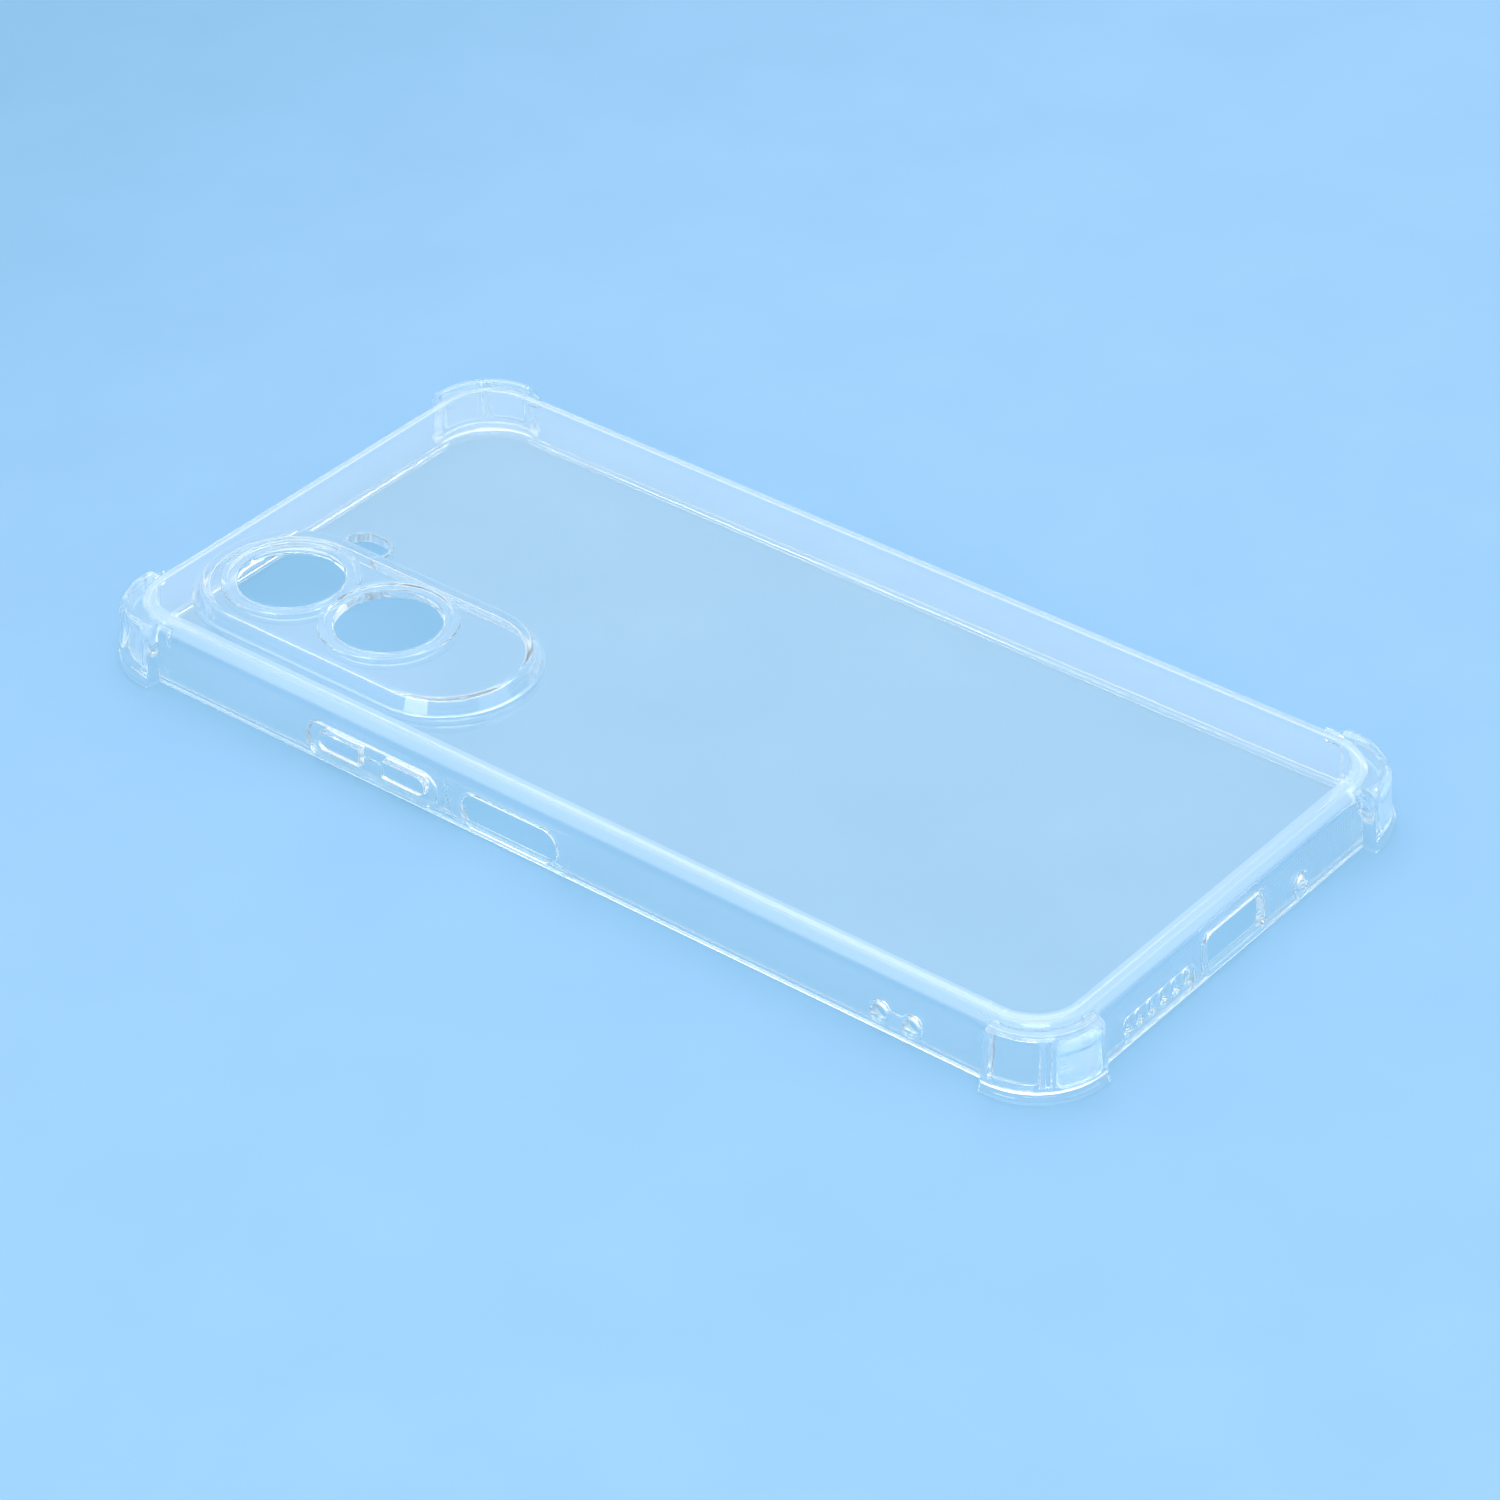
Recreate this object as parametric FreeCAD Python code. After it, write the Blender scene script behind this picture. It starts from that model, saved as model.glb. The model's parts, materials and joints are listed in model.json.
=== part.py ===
"""Clear shock-absorbing phone case, lying with its back up and its open front down.

Units are millimetres.  +Z points out of the back, +Y towards the end with the camera island,
-X is the long side with the volume keys.  The origin is the centre of the front rim's plane.
A wall's cross-section is drawn in (u, z): u is the distance outwards from the axis of the
corner arcs, so the same section is extruded along a straight wall and revolved round a corner.
"""
import FreeCAD, Part
import math
import os

Vector = FreeCAD.Vector

# ---------------------------------------------------------------- driving dimensions
CASE_WIDTH = 80.0            # across the plain long walls
CASE_LENGTH = 164.0          # across the plain end walls
CASE_HEIGHT = 10.0           # front rim to the flat of the back
CORNER_RADIUS = 10.0         # outside of the plain walls, seen from the back
WALL = 1.2                   # side wall thickness
BACK = 1.2                   # back panel thickness
WALL_LEAN = 0.6              # how far the outer face leans in below the back edge
BACK_EDGE_RADIUS = 2.5       # rounding between walls and back
INNER_CHAMFER = 0.8          # inside corner between walls and back

LIP_HEIGHT = 0.8             # raised front rim
LIP_REACH = 0.5              # how far the rim laps over the phone's front edge
LIP_CHAMFER = 0.25

BUMPER_PROUD = 1.9           # corner cushion beyond the plain wall
BUMPER_AXIS_SHIFT = 1.2      # its own arc axis lies this much further out, in X and in Y
FLANGE_PROUD = 2.3           # foot of the cushion
FLANGE_HEIGHT = 1.2
LAP_TURN = 47.0              # degrees of the back edge's rounding that the cushion laps over
LAP_THICKNESS = 0.45
WINDOW_DEPTH = 1.0           # two recessed panes in a cushion
WINDOW_BOTTOM = 2.4
WINDOW_TOP = 9.1
WINDOW_CORNER = 0.9
POST_WIDTH = 1.6             # frame at each end of a cushion
RIB_WIDTH = 2.2              # central rib
RIB_GROOVE_WIDTH = 0.9
RIB_GROOVE_DEPTH = 0.4
SIDE_TIP_LENGTH = 2.4        # thin tips that run on along the long walls
END_TIP_LENGTH = 1.2         # and along the end walls
WING_BOTTOM = 6.9

ISLAND_WIDTH = 25.9          # at its base
ISLAND_LENGTH = 55.6
ISLAND_CENTRE = (-22.35, 48.1)
ISLAND_RISE = 2.5            # above the back
ISLAND_DRAFT = 1.2           # how far its sides lean in over that rise
ISLAND_WALL = 1.2
ISLAND_TOP = 1.2
ISLAND_EDGE_RADIUS = 0.4
ISLAND_FOOT_WIDTH = 0.5      # narrow step round the foot of the island
ISLAND_FOOT_RISE = 0.35

LENS_CENTRES = {"upper": (-22.4, 62.1), "lower": (-22.3, 43.9)}
LENS_RING_RADIUS = 9.9
LENS_CREST_RADIUS = 8.95     # outer edge of the groove between the two ridges
LENS_INNER_RADIUS = 7.9
LENS_HOLE_RADIUS = 7.6
LENS_RING_RISE = 0.4         # above the island
LENS_RIDGE_WIDTH = 0.25
LENS_GROOVE_DEPTH = 0.2

FLASH_CENTRE = (-7.4, 61.8)
FLASH_LENGTH = 6.8
FLASH_WIDTH = 5.2
FLASH_RIM = 0.6
FLASH_RIM_RISE = 0.25

VOLUME_ALONG = 31.9
VOLUME_LENGTH = 23.6
VOLUME_HEIGHT = 4.8
VOLUME_FRAME_WIDTH = 0.4
VOLUME_FRAME_PROUD = 0.25
WEB_RECESS = 0.55            # membrane below the outer face
KEY_LENGTH = 7.9
KEY_HEIGHT = 2.8
KEY_GAP = 3.9                # between the square ends of the two keys
KEY_PROUD = 0.3
KEY_BACK = 0.1               # its inner face lies this far outside the wall's inner face
KEY_EDGE_RADIUS = 0.25
KEY_CLEARANCE = 0.2          # between a key and the membrane round it
RIDGE_HEIGHT = 0.5           # small ridge between the keys
RIDGE_RISE = 0.3

POWER_ALONG = 7.75
POWER_LENGTH = 16.8
POWER_HEIGHT = 4.8           # its lower edge is the top of the front rim
POWER_FRAME_WIDTH = 0.5
POWER_FRAME_RISE = 0.25      # above the floor of the dish round it
SCOOP_DEPTH = 0.6            # shallow dish in the wall round the power cut-out
SCOOP_MARGIN = 1.6
SCOOP_RUN = 2.0              # length of its sloping ends

LANYARD_Y = (-55.05, -60.15)
LANYARD_HEIGHT = 2.95
LANYARD_HOLE_RADIUS = 1.3
LANYARD_BOSS_RADIUS = 1.85
LANYARD_WAIST = 2.2
LANYARD_PROUD = 0.35

SPEAKER_FIRST = -22.9
SPEAKER_PITCH = 2.6
SPEAKER_COUNT = 6
SPEAKER_SLOT_WIDTH = 1.5
SPEAKER_SLOT_HEIGHT = 2.8
SPEAKER_CENTRE_Z = 2.75
SPEAKER_MARGIN = 0.55
SPEAKER_THICKNESS = 0.8

USB_CENTRE = (0.4, 4.1)      # along the wall, height
USB_LENGTH = 12.8
USB_HEIGHT = 5.4
USB_CORNER = 1.2
USB_FRAME_WIDTH = 0.55
USB_SIDE_WIDTH = 1.3
USB_PROUD = 0.2

MIC_CENTRE = (15.5, 2.8)
MIC_RADIUS = 1.1
MIC_RING_RADIUS = 1.9
MIC_PROUD = 0.3

# ---------------------------------------------------------------- derived values
AXIS_X = CASE_WIDTH / 2 - CORNER_RADIUS
AXIS_Y = CASE_LENGTH / 2 - CORNER_RADIUS
WALL_TOP = CASE_HEIGHT - BACK
EDGE_Z = CASE_HEIGHT - BACK_EDGE_RADIUS
EDGE_U = CORNER_RADIUS - WALL_LEAN - BACK_EDGE_RADIUS
VOLUME_CENTRE = (VOLUME_ALONG, LIP_HEIGHT + VOLUME_FRAME_WIDTH + VOLUME_HEIGHT / 2)
POWER_CENTRE = (POWER_ALONG, LIP_HEIGHT + POWER_HEIGHT / 2)
LEFT, RIGHT, TOP, BOTTOM = 180, 0, 90, 270
UP = Vector(0, 0, 1)
PAST = 2.0                   # how far a cutting tool runs past the material
SHARP = 0.01                 # corner radius of an outline that is meant to be square


# ---------------------------------------------------------------- sections and solids
def section(start, *steps):
    """Face in the XZ plane.  A step is a (u, z) point or a pair of points for an arc."""
    edges = []
    here = start
    for step in steps + (start,):
        if isinstance(step[0], tuple):
            middle, end = step
            arc = Part.Arc(Vector(here[0], 0, here[1]), Vector(middle[0], 0, middle[1]),
                           Vector(end[0], 0, end[1]))
            edges.append(arc.toShape())
        else:
            end = step
            edges.append(Part.makeLine(Vector(here[0], 0, here[1]), Vector(end[0], 0, end[1])))
        here = end
    return Part.Face(Part.Wire(edges))


def along_wall(face, side):
    """Extrude a section along one straight wall; side is the wall's compass angle."""
    end_wall = side in (TOP, BOTTOM)
    half = AXIS_X if end_wall else AXIS_Y
    reach = AXIS_Y if end_wall else AXIS_X
    solid = face.extrude(Vector(0, 2 * half, 0))
    solid.translate(Vector(reach, -half, 0))
    solid.rotate(Vector(0, 0, 0), UP, side)
    return solid


def round_corner(face, start_angle=0.0, sweep=90.0, shift=0.0):
    """Revolve a section about the axis of the (+X, +Y) corner, moved outwards by shift."""
    turned = face.copy()
    turned.rotate(Vector(0, 0, 0), UP, start_angle)
    solid = turned.revolve(Vector(0, 0, 0), UP, sweep)
    solid.translate(Vector(AXIS_X + shift, AXIS_Y + shift, 0))
    return solid


def mirrored(shape, flip_x, flip_y):
    """Copy of a (+X, +Y) shape in another corner."""
    result = shape.copy()
    if flip_x:
        result = result.mirror(Vector(0, 0, 0), Vector(1, 0, 0))
    if flip_y:
        result = result.mirror(Vector(0, 0, 0), Vector(0, 1, 0))
    return result


def ring_of(face):
    """Four straight lengths and four quarter turns of one section, fused."""
    pieces = [along_wall(face, side) for side in (RIGHT, TOP, LEFT, BOTTOM)]
    corner = round_corner(face)
    pieces += [mirrored(corner, fx, fy) for fx in (False, True) for fy in (False, True)]
    return fused(pieces)


def fused(shapes):
    whole = shapes[0].multiFuse(list(shapes[1:])) if len(shapes) > 1 else shapes[0]
    return whole.removeSplitter()


def stadium_wire(length, height, corner=None):
    """Closed outline centred on the origin of XY, long along X, with rounded ends."""
    r = height / 2 if corner is None else corner
    x = length / 2 - r
    y = height / 2 - r
    centres = [(x, y), (-x, y), (-x, -y), (x, -y)]
    edges = []
    for quarter, (cx, cy) in enumerate(centres):
        a = math.radians(90 * quarter)
        points = []
        for turn in (0, math.pi / 4, math.pi / 2):
            points.append(Vector(cx + r * math.cos(a + turn), cy + r * math.sin(a + turn), 0))
        edges.append(Part.Arc(*points).toShape())
    outline = []
    for index, arc in enumerate(edges):
        outline.append(arc)
        end = arc.Vertexes[-1].Point
        start = edges[(index + 1) % 4].Vertexes[0].Point
        if (end - start).Length > 1e-6:
            outline.append(Part.makeLine(end, start))
    return Part.Wire(Part.__sortEdges__(outline))


def stadium_prism(length, height, depth, corner=None):
    return Part.Face(stadium_wire(length, height, corner)).extrude(Vector(0, 0, depth))


def through_wall(prism, side, along, height):
    """Turn a prism drawn in XY (X along the wall, Y up) so that it pierces a wall."""
    tool = prism.copy()
    tool.rotate(Vector(0, 0, 0), Vector(1, 0, 0), 90)
    tool.rotate(Vector(0, 0, 0), UP, 90)
    # it now runs along +X, with its length along +Y
    end_wall = side in (TOP, BOTTOM)
    reach = AXIS_Y if end_wall else AXIS_X
    sign = {RIGHT: 1, TOP: -1, LEFT: -1, BOTTOM: 1}[side]
    tool.translate(Vector(reach, sign * along, height))
    tool.rotate(Vector(0, 0, 0), UP, side)
    return tool


def wall_opening(length, height, side, place, corner=None):
    depth = CORNER_RADIUS + 3 * PAST
    return through_wall(stadium_prism(length, height, depth, corner), side, *place)


# ---------------------------------------------------------------- wall sections
def wall_section(proud=0.0, inset=0.0):
    """Wall from the lip to the underside of the back; proud moves the outer face outwards,
    inset moves the inner face outwards."""
    radius = BACK_EDGE_RADIUS + proud
    rise = WALL_TOP - EDGE_Z
    shoulder = EDGE_U + math.sqrt(radius ** 2 - rise ** 2)
    half_turn = math.asin(rise / radius) / 2
    outer_mid = (EDGE_U + radius * math.cos(half_turn), EDGE_Z + radius * math.sin(half_turn))
    inner = CORNER_RADIUS - WALL + inset
    return section(
        (inner, LIP_HEIGHT),
        (CORNER_RADIUS + proud, LIP_HEIGHT),
        (EDGE_U + radius, EDGE_Z),
        (outer_mid, (shoulder, WALL_TOP)),
        (inner - WALL_LEAN - INNER_CHAMFER, WALL_TOP),
        (inner - WALL_LEAN, WALL_TOP - INNER_CHAMFER),
    )


def lip_section():
    inner = CORNER_RADIUS - WALL - LIP_REACH
    return section(
        (inner, LIP_CHAMFER),
        (inner + LIP_CHAMFER, 0),
        (CORNER_RADIUS - LIP_CHAMFER, 0),
        (CORNER_RADIUS, LIP_CHAMFER),
        (CORNER_RADIUS, LIP_HEIGHT),
        (inner + LIP_CHAMFER, LIP_HEIGHT),
        (inner, LIP_HEIGHT - LIP_CHAMFER),
    )


def outer_section():
    """Everything inside the plain outer skin, from the corner axis outwards."""
    diagonal = BACK_EDGE_RADIUS * math.sqrt(0.5)
    return section(
        (0, 0),
        (CORNER_RADIUS, 0),
        (CORNER_RADIUS, LIP_HEIGHT),
        (EDGE_U + BACK_EDGE_RADIUS, EDGE_Z),
        ((EDGE_U + diagonal, EDGE_Z + diagonal), (EDGE_U, CASE_HEIGHT)),
        (0, CASE_HEIGHT),
    )


def plain_body():
    """Solid block with the plain outer skin: no cavity, bumpers or openings."""
    core = Part.makeBox(2 * AXIS_X, 2 * AXIS_Y, CASE_HEIGHT, Vector(-AXIS_X, -AXIS_Y, 0))
    return fused([core, ring_of(outer_section())])


# ---------------------------------------------------------------- back, island, lens rings
def on_back(solid, centre, z):
    """Place a solid drawn on XY, long along X, on the back with its length along Y."""
    placed = solid.copy()
    placed.rotate(Vector(0, 0, 0), UP, 90)
    placed.translate(Vector(centre[0], centre[1], z))
    return placed


def drafted_stadium(length, width, rise, draft):
    """Stadium block whose sides lean in by draft over its rise."""
    base = stadium_wire(length, width)
    crown = stadium_wire(length - 2 * draft, width - 2 * draft)
    crown.translate(Vector(0, 0, rise))
    return Part.makeLoft([base, crown], True, True)


def island_base(grow=0.0):
    """Prism over the island's base outline, through the whole height of the case."""
    prism = stadium_prism(ISLAND_LENGTH + 2 * grow, ISLAND_WIDTH + 2 * grow, 2 * CASE_HEIGHT)
    return on_back(prism, ISLAND_CENTRE, 0)


def flash_base(grow=0.0):
    prism = stadium_prism(FLASH_LENGTH + 2 * grow, FLASH_WIDTH + 2 * grow, 2 * CASE_HEIGHT)
    return on_back(prism, FLASH_CENTRE, 0)


def slab(bottom, top):
    return Part.makeBox(CASE_WIDTH, CASE_LENGTH, top - bottom,
                        Vector(-CASE_WIDTH / 2, -CASE_LENGTH / 2, bottom))


def back_panel():
    plate = plain_body().common(slab(WALL_TOP, CASE_HEIGHT))
    hole = island_base(ISLAND_FOOT_WIDTH)
    return plate.cut(hole).cut(flash_base(FLASH_RIM)).removeSplitter()


def lens_disc(which, radius):
    centre = LENS_CENTRES[which]
    return Part.makeCylinder(radius, 2 * CASE_HEIGHT, Vector(centre[0], centre[1], 0))


def camera_island():
    """Raised cap with a hollow under it, two round apertures and a foot round its edge."""
    cap = drafted_stadium(ISLAND_LENGTH, ISLAND_WIDTH, ISLAND_RISE, ISLAND_DRAFT)
    rim_edges = [edge for edge in cap.Edges if edge.BoundBox.ZMin > ISLAND_RISE / 2]
    cap = on_back(cap.makeFillet(ISLAND_EDGE_RADIUS, rim_edges), ISLAND_CENTRE, CASE_HEIGHT)
    foot = island_base(ISLAND_FOOT_WIDTH).common(slab(WALL_TOP, CASE_HEIGHT + ISLAND_FOOT_RISE))
    foot = foot.cut(flash_base(FLASH_RIM).cut(island_base()))
    hollow_rise = ISLAND_RISE - ISLAND_TOP + BACK
    hollow = drafted_stadium(ISLAND_LENGTH - 2 * ISLAND_WALL, ISLAND_WIDTH - 2 * ISLAND_WALL,
                             hollow_rise, ISLAND_DRAFT * hollow_rise / (ISLAND_RISE + BACK))
    island = fused([cap, foot]).cut(on_back(hollow, ISLAND_CENTRE, WALL_TOP))
    for which in LENS_CENTRES:
        island = island.cut(lens_disc(which, LENS_RING_RADIUS))
    return island.removeSplitter()


def lens_ring(which):
    """Double-ridged ring round one aperture, from the island's underside to above its top."""
    top = CASE_HEIGHT + ISLAND_RISE
    bottom = top - ISLAND_TOP
    crest = top + LENS_RING_RISE
    trough = crest - LENS_GROOVE_DEPTH
    profile = section(
        (LENS_HOLE_RADIUS, bottom),
        (LENS_RING_RADIUS, bottom),
        (LENS_RING_RADIUS, top),
        (LENS_RING_RADIUS - LENS_RIDGE_WIDTH, crest),
        (LENS_CREST_RADIUS, crest),
        (LENS_CREST_RADIUS - LENS_RIDGE_WIDTH, trough),
        (LENS_INNER_RADIUS + LENS_RIDGE_WIDTH, trough),
        (LENS_INNER_RADIUS, crest),
        (LENS_HOLE_RADIUS, top),
    )
    ring = profile.revolve(Vector(0, 0, 0), UP, 360)
    ring.translate(Vector(*LENS_CENTRES[which], 0))
    return ring


def upper_lens_ring():
    return lens_ring("upper").cut(lens_disc("lower", LENS_RING_RADIUS))


def lower_lens_ring():
    return lens_ring("lower").cut(lens_disc("upper", LENS_HOLE_RADIUS))


def flash_window_rim():
    """Rim round the flash opening, let into the back beside the island."""
    rim = flash_base(FLASH_RIM).cut(flash_base()).cut(island_base())
    return rim.common(slab(WALL_TOP, CASE_HEIGHT + FLASH_RIM_RISE))


# ---------------------------------------------------------------- corner bumpers
def on_back_edge(turn_degrees, thickness=0.0):
    """Point of the back edge's rounding, in (u, z), or of a skin laid over it."""
    turn = math.radians(turn_degrees)
    radius = BACK_EDGE_RADIUS + thickness
    return (EDGE_U + radius * math.cos(turn), EDGE_Z + radius * math.sin(turn))


def cushion_section():
    """Cushion outside a corner wall; u is measured from the cushion's own arc axis."""
    inner = CORNER_RADIUS - WALL / 2 - BUMPER_AXIS_SHIFT
    outer = CORNER_RADIUS + BUMPER_PROUD - BUMPER_AXIS_SHIFT
    flange = CORNER_RADIUS + FLANGE_PROUD - BUMPER_AXIS_SHIFT
    lap_u, lap_z = on_back_edge(LAP_TURN, LAP_THICKNESS)
    shoulder_z = EDGE_Z - LAP_THICKNESS
    bulge = ((outer - WALL_LEAN + lap_u) / 2 + 0.45, (shoulder_z + lap_z) / 2 + 0.45)
    return section(
        (inner, 0),
        (flange - LIP_CHAMFER, 0),
        (flange, LIP_CHAMFER),
        (flange, FLANGE_HEIGHT - LIP_CHAMFER),
        (outer, FLANGE_HEIGHT + LIP_CHAMFER),
        (outer - WALL_LEAN, shoulder_z),
        (bulge, (lap_u, lap_z)),
        (lap_u - 2 * BUMPER_AXIS_SHIFT, lap_z - LAP_THICKNESS),
        (inner - 2 * BUMPER_AXIS_SHIFT, LIP_HEIGHT),
    )


def tip_section():
    """Thin skin over a straight wall's upper part, for the tips beside a cushion."""
    lean_rate = WALL_LEAN / (EDGE_Z - LIP_HEIGHT)
    start_u = CORNER_RADIUS - lean_rate * (WING_BOTTOM - LIP_HEIGHT)
    middle = LAP_TURN / 2
    return section(
        (start_u, WING_BOTTOM),
        (start_u + LAP_THICKNESS, WING_BOTTOM + LAP_THICKNESS),
        on_back_edge(0, LAP_THICKNESS),
        (on_back_edge(middle, LAP_THICKNESS), on_back_edge(LAP_TURN, LAP_THICKNESS)),
        on_back_edge(LAP_TURN),
        (on_back_edge(middle), on_back_edge(0)),
    )


def window_tool(start_angle, sweep):
    """Cuts one recessed pane between an end post and the central rib."""
    floor_u = CORNER_RADIUS + BUMPER_PROUD - WINDOW_DEPTH - BUMPER_AXIS_SHIFT
    outside = CORNER_RADIUS + FLANGE_PROUD + PAST
    face = section(
        (floor_u, WINDOW_BOTTOM),
        (outside, WINDOW_BOTTOM),
        (outside, WINDOW_TOP),
        (floor_u - 2 * WALL_LEAN, WINDOW_TOP),
        (floor_u - WALL_LEAN, EDGE_Z),
    )
    tool = round_corner(face, start_angle, sweep, BUMPER_AXIS_SHIFT)
    outward = [edge for edge in tool.Edges if is_radial(edge)]
    return tool.makeFillet(WINDOW_CORNER, outward)


def is_radial(edge):
    """True for a straight edge that runs outwards from a cushion's axis."""
    if edge.Curve.TypeId != "Part::GeomLine":
        return False
    axis = Vector(AXIS_X + BUMPER_AXIS_SHIFT, AXIS_Y + BUMPER_AXIS_SHIFT, 0)
    radii = [math.hypot(*(vertex.Point - axis)[:2]) for vertex in edge.Vertexes]
    return abs(radii[0] - radii[1]) > WINDOW_DEPTH + WALL_LEAN


def half_cushion():
    """From the end post to the middle of the rib, in the (+X, +Y) corner."""
    outer = CORNER_RADIUS + BUMPER_PROUD - BUMPER_AXIS_SHIFT
    post = math.degrees((POST_WIDTH - BUMPER_AXIS_SHIFT) / outer)
    rib = math.degrees(RIB_WIDTH / outer / 2)
    groove_turn = math.degrees(RIB_GROOVE_WIDTH / outer / 2)
    straight = cushion_section().extrude(Vector(0, BUMPER_AXIS_SHIFT, 0))
    straight.translate(Vector(AXIS_X + BUMPER_AXIS_SHIFT, AXIS_Y, 0))
    turn = round_corner(cushion_section(), 0, 45, BUMPER_AXIS_SHIFT)
    half = fused([straight, turn]).cut(window_tool(post, 45 - post - rib))
    groove_u = outer - RIB_GROOVE_DEPTH
    groove = section(
        (groove_u, WINDOW_BOTTOM),
        (outer + PAST, WINDOW_BOTTOM),
        (outer + PAST, WINDOW_TOP),
        (groove_u - 2 * WALL_LEAN, WINDOW_TOP),
        (groove_u - WALL_LEAN, EDGE_Z - LAP_THICKNESS),
    )
    return half.cut(round_corner(groove, 45 - groove_turn, 2 * groove_turn, BUMPER_AXIS_SHIFT))


def corner_bumper(flip_x, flip_y):
    """Corner wall, the cushion outside it and the two tips beside it."""
    side_half = fused([round_corner(wall_section(), 0, 45), half_cushion().cut(plain_body())])
    end_half = across_diagonal(side_half)
    tips = [tip(SIDE_TIP_LENGTH), across_diagonal(tip(END_TIP_LENGTH))]
    return mirrored(fused([side_half, end_half] + tips), flip_x, flip_y)


def tip(length):
    solid = tip_section().extrude(Vector(0, -length, 0))
    solid.translate(Vector(AXIS_X, AXIS_Y, 0))
    return solid


def across_diagonal(solid):
    """Mirror in the upright plane through the (+X, +Y) corner's diagonal."""
    return solid.mirror(Vector(AXIS_X, AXIS_Y, 0), Vector(1, -1, 0))


# ---------------------------------------------------------------- features let into the walls
def volume_outline(grow=0.0):
    return wall_opening(VOLUME_LENGTH + 2 * grow, VOLUME_HEIGHT + 2 * grow, LEFT, VOLUME_CENTRE)


def key_outline(end, grow=0.0):
    """One key: square towards the other key, rounded at its outer end.  end is +1 or -1."""
    length = KEY_LENGTH + 2 * grow
    height = KEY_HEIGHT + 2 * grow
    along = VOLUME_CENTRE[0] + end * (KEY_GAP + KEY_LENGTH) / 2
    shifted = (along - end * height / 2, VOLUME_CENTRE[1])
    rounded = wall_opening(length + height, height, LEFT, shifted)
    limit = wall_opening(length, 2 * height, LEFT, (along, VOLUME_CENTRE[1]), corner=SHARP)
    return rounded.common(limit)


def volume_surround():
    ring = volume_outline(VOLUME_FRAME_WIDTH).cut(volume_outline())
    return along_wall(wall_section(VOLUME_FRAME_PROUD), LEFT).common(ring)


def volume_membrane():
    """Thin flexing web round the two keys, with a small ridge between them."""
    web = along_wall(wall_section(-WEB_RECESS), LEFT).common(volume_outline())
    ridge = wall_opening(KEY_GAP, RIDGE_HEIGHT, LEFT, VOLUME_CENTRE)
    ridge = ridge.common(along_wall(wall_section(RIDGE_RISE - WEB_RECESS), LEFT))
    web = fused([web, ridge])
    for end in (1, -1):
        web = web.cut(key_outline(end, KEY_CLEARANCE))
    return web.removeSplitter()


def volume_key(end):
    key = along_wall(wall_section(KEY_PROUD, inset=KEY_BACK), LEFT).common(key_outline(end))
    crest_limit = key.BoundBox.XMin + WALL / 2
    crest = [edge for edge in key.Edges if edge.BoundBox.XMax < crest_limit]
    return key.makeFillet(KEY_EDGE_RADIUS, crest)


def scoop():
    """Shallow dish with sloping ends, cut in the wall round the power opening."""
    half = POWER_LENGTH / 2 + SCOOP_MARGIN
    profile = [(-half - SCOOP_RUN, 0.0), (-half, SCOOP_DEPTH), (half, SCOOP_DEPTH),
               (half + SCOOP_RUN, 0.0), (half + SCOOP_RUN, -PAST), (-half - SCOOP_RUN, -PAST)]
    points = [Vector(depth - CASE_WIDTH / 2, POWER_ALONG + along, -PAST)
              for along, depth in profile]
    dish = Part.Face(Part.makePolygon(points + points[:1])).extrude(Vector(0, 0, EDGE_Z + PAST))
    slant = math.degrees(math.atan(WALL_LEAN / (EDGE_Z - LIP_HEIGHT)))
    dish.rotate(Vector(SCOOP_DEPTH - CASE_WIDTH / 2, 0, LIP_HEIGHT), Vector(0, 1, 0), slant)
    return dish


def power_outline(grow=0.0):
    return wall_opening(POWER_LENGTH + 2 * grow, POWER_HEIGHT + 2 * grow, LEFT, POWER_CENTRE)


def power_cutout_frame():
    """Arch round the opening, standing on the front rim."""
    ring = power_outline(POWER_FRAME_WIDTH).cut(power_outline())
    return along_wall(wall_section(POWER_FRAME_RISE - SCOOP_DEPTH), LEFT).common(ring)


def lanyard_outline():
    along = sum(LANYARD_Y) / 2
    ends = [wall_opening(2 * LANYARD_BOSS_RADIUS, 2 * LANYARD_BOSS_RADIUS, LEFT,
                         (y, LANYARD_HEIGHT)) for y in LANYARD_Y]
    waist = wall_opening(LANYARD_Y[0] - LANYARD_Y[1], LANYARD_WAIST, LEFT,
                         (along, LANYARD_HEIGHT), corner=SHARP)
    return fused(ends + [waist])


def lanyard_boss():
    inner_x = WALL - CASE_WIDTH / 2
    thickness = WALL + LANYARD_PROUD
    band = Part.makeBox(thickness, CASE_LENGTH, CASE_HEIGHT,
                        Vector(inner_x - thickness, -CASE_LENGTH / 2, 0))
    boss = lanyard_outline().common(band)
    for y in LANYARD_Y:
        start = Vector(inner_x + PAST, y, LANYARD_HEIGHT)
        hole = Part.makeCylinder(LANYARD_HOLE_RADIUS, thickness + 2 * PAST, start, Vector(-1, 0, 0))
        boss = boss.cut(hole)
    return boss.removeSplitter()


def speaker_outline():
    span = (SPEAKER_COUNT - 1) * SPEAKER_PITCH
    width = span + SPEAKER_SLOT_WIDTH + 2 * SPEAKER_MARGIN
    height = SPEAKER_SLOT_HEIGHT + 2 * SPEAKER_MARGIN
    return wall_opening(width, height, BOTTOM, (SPEAKER_FIRST + span / 2, SPEAKER_CENTRE_Z),
                        corner=SPEAKER_SLOT_WIDTH / 2 + SPEAKER_MARGIN)


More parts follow.
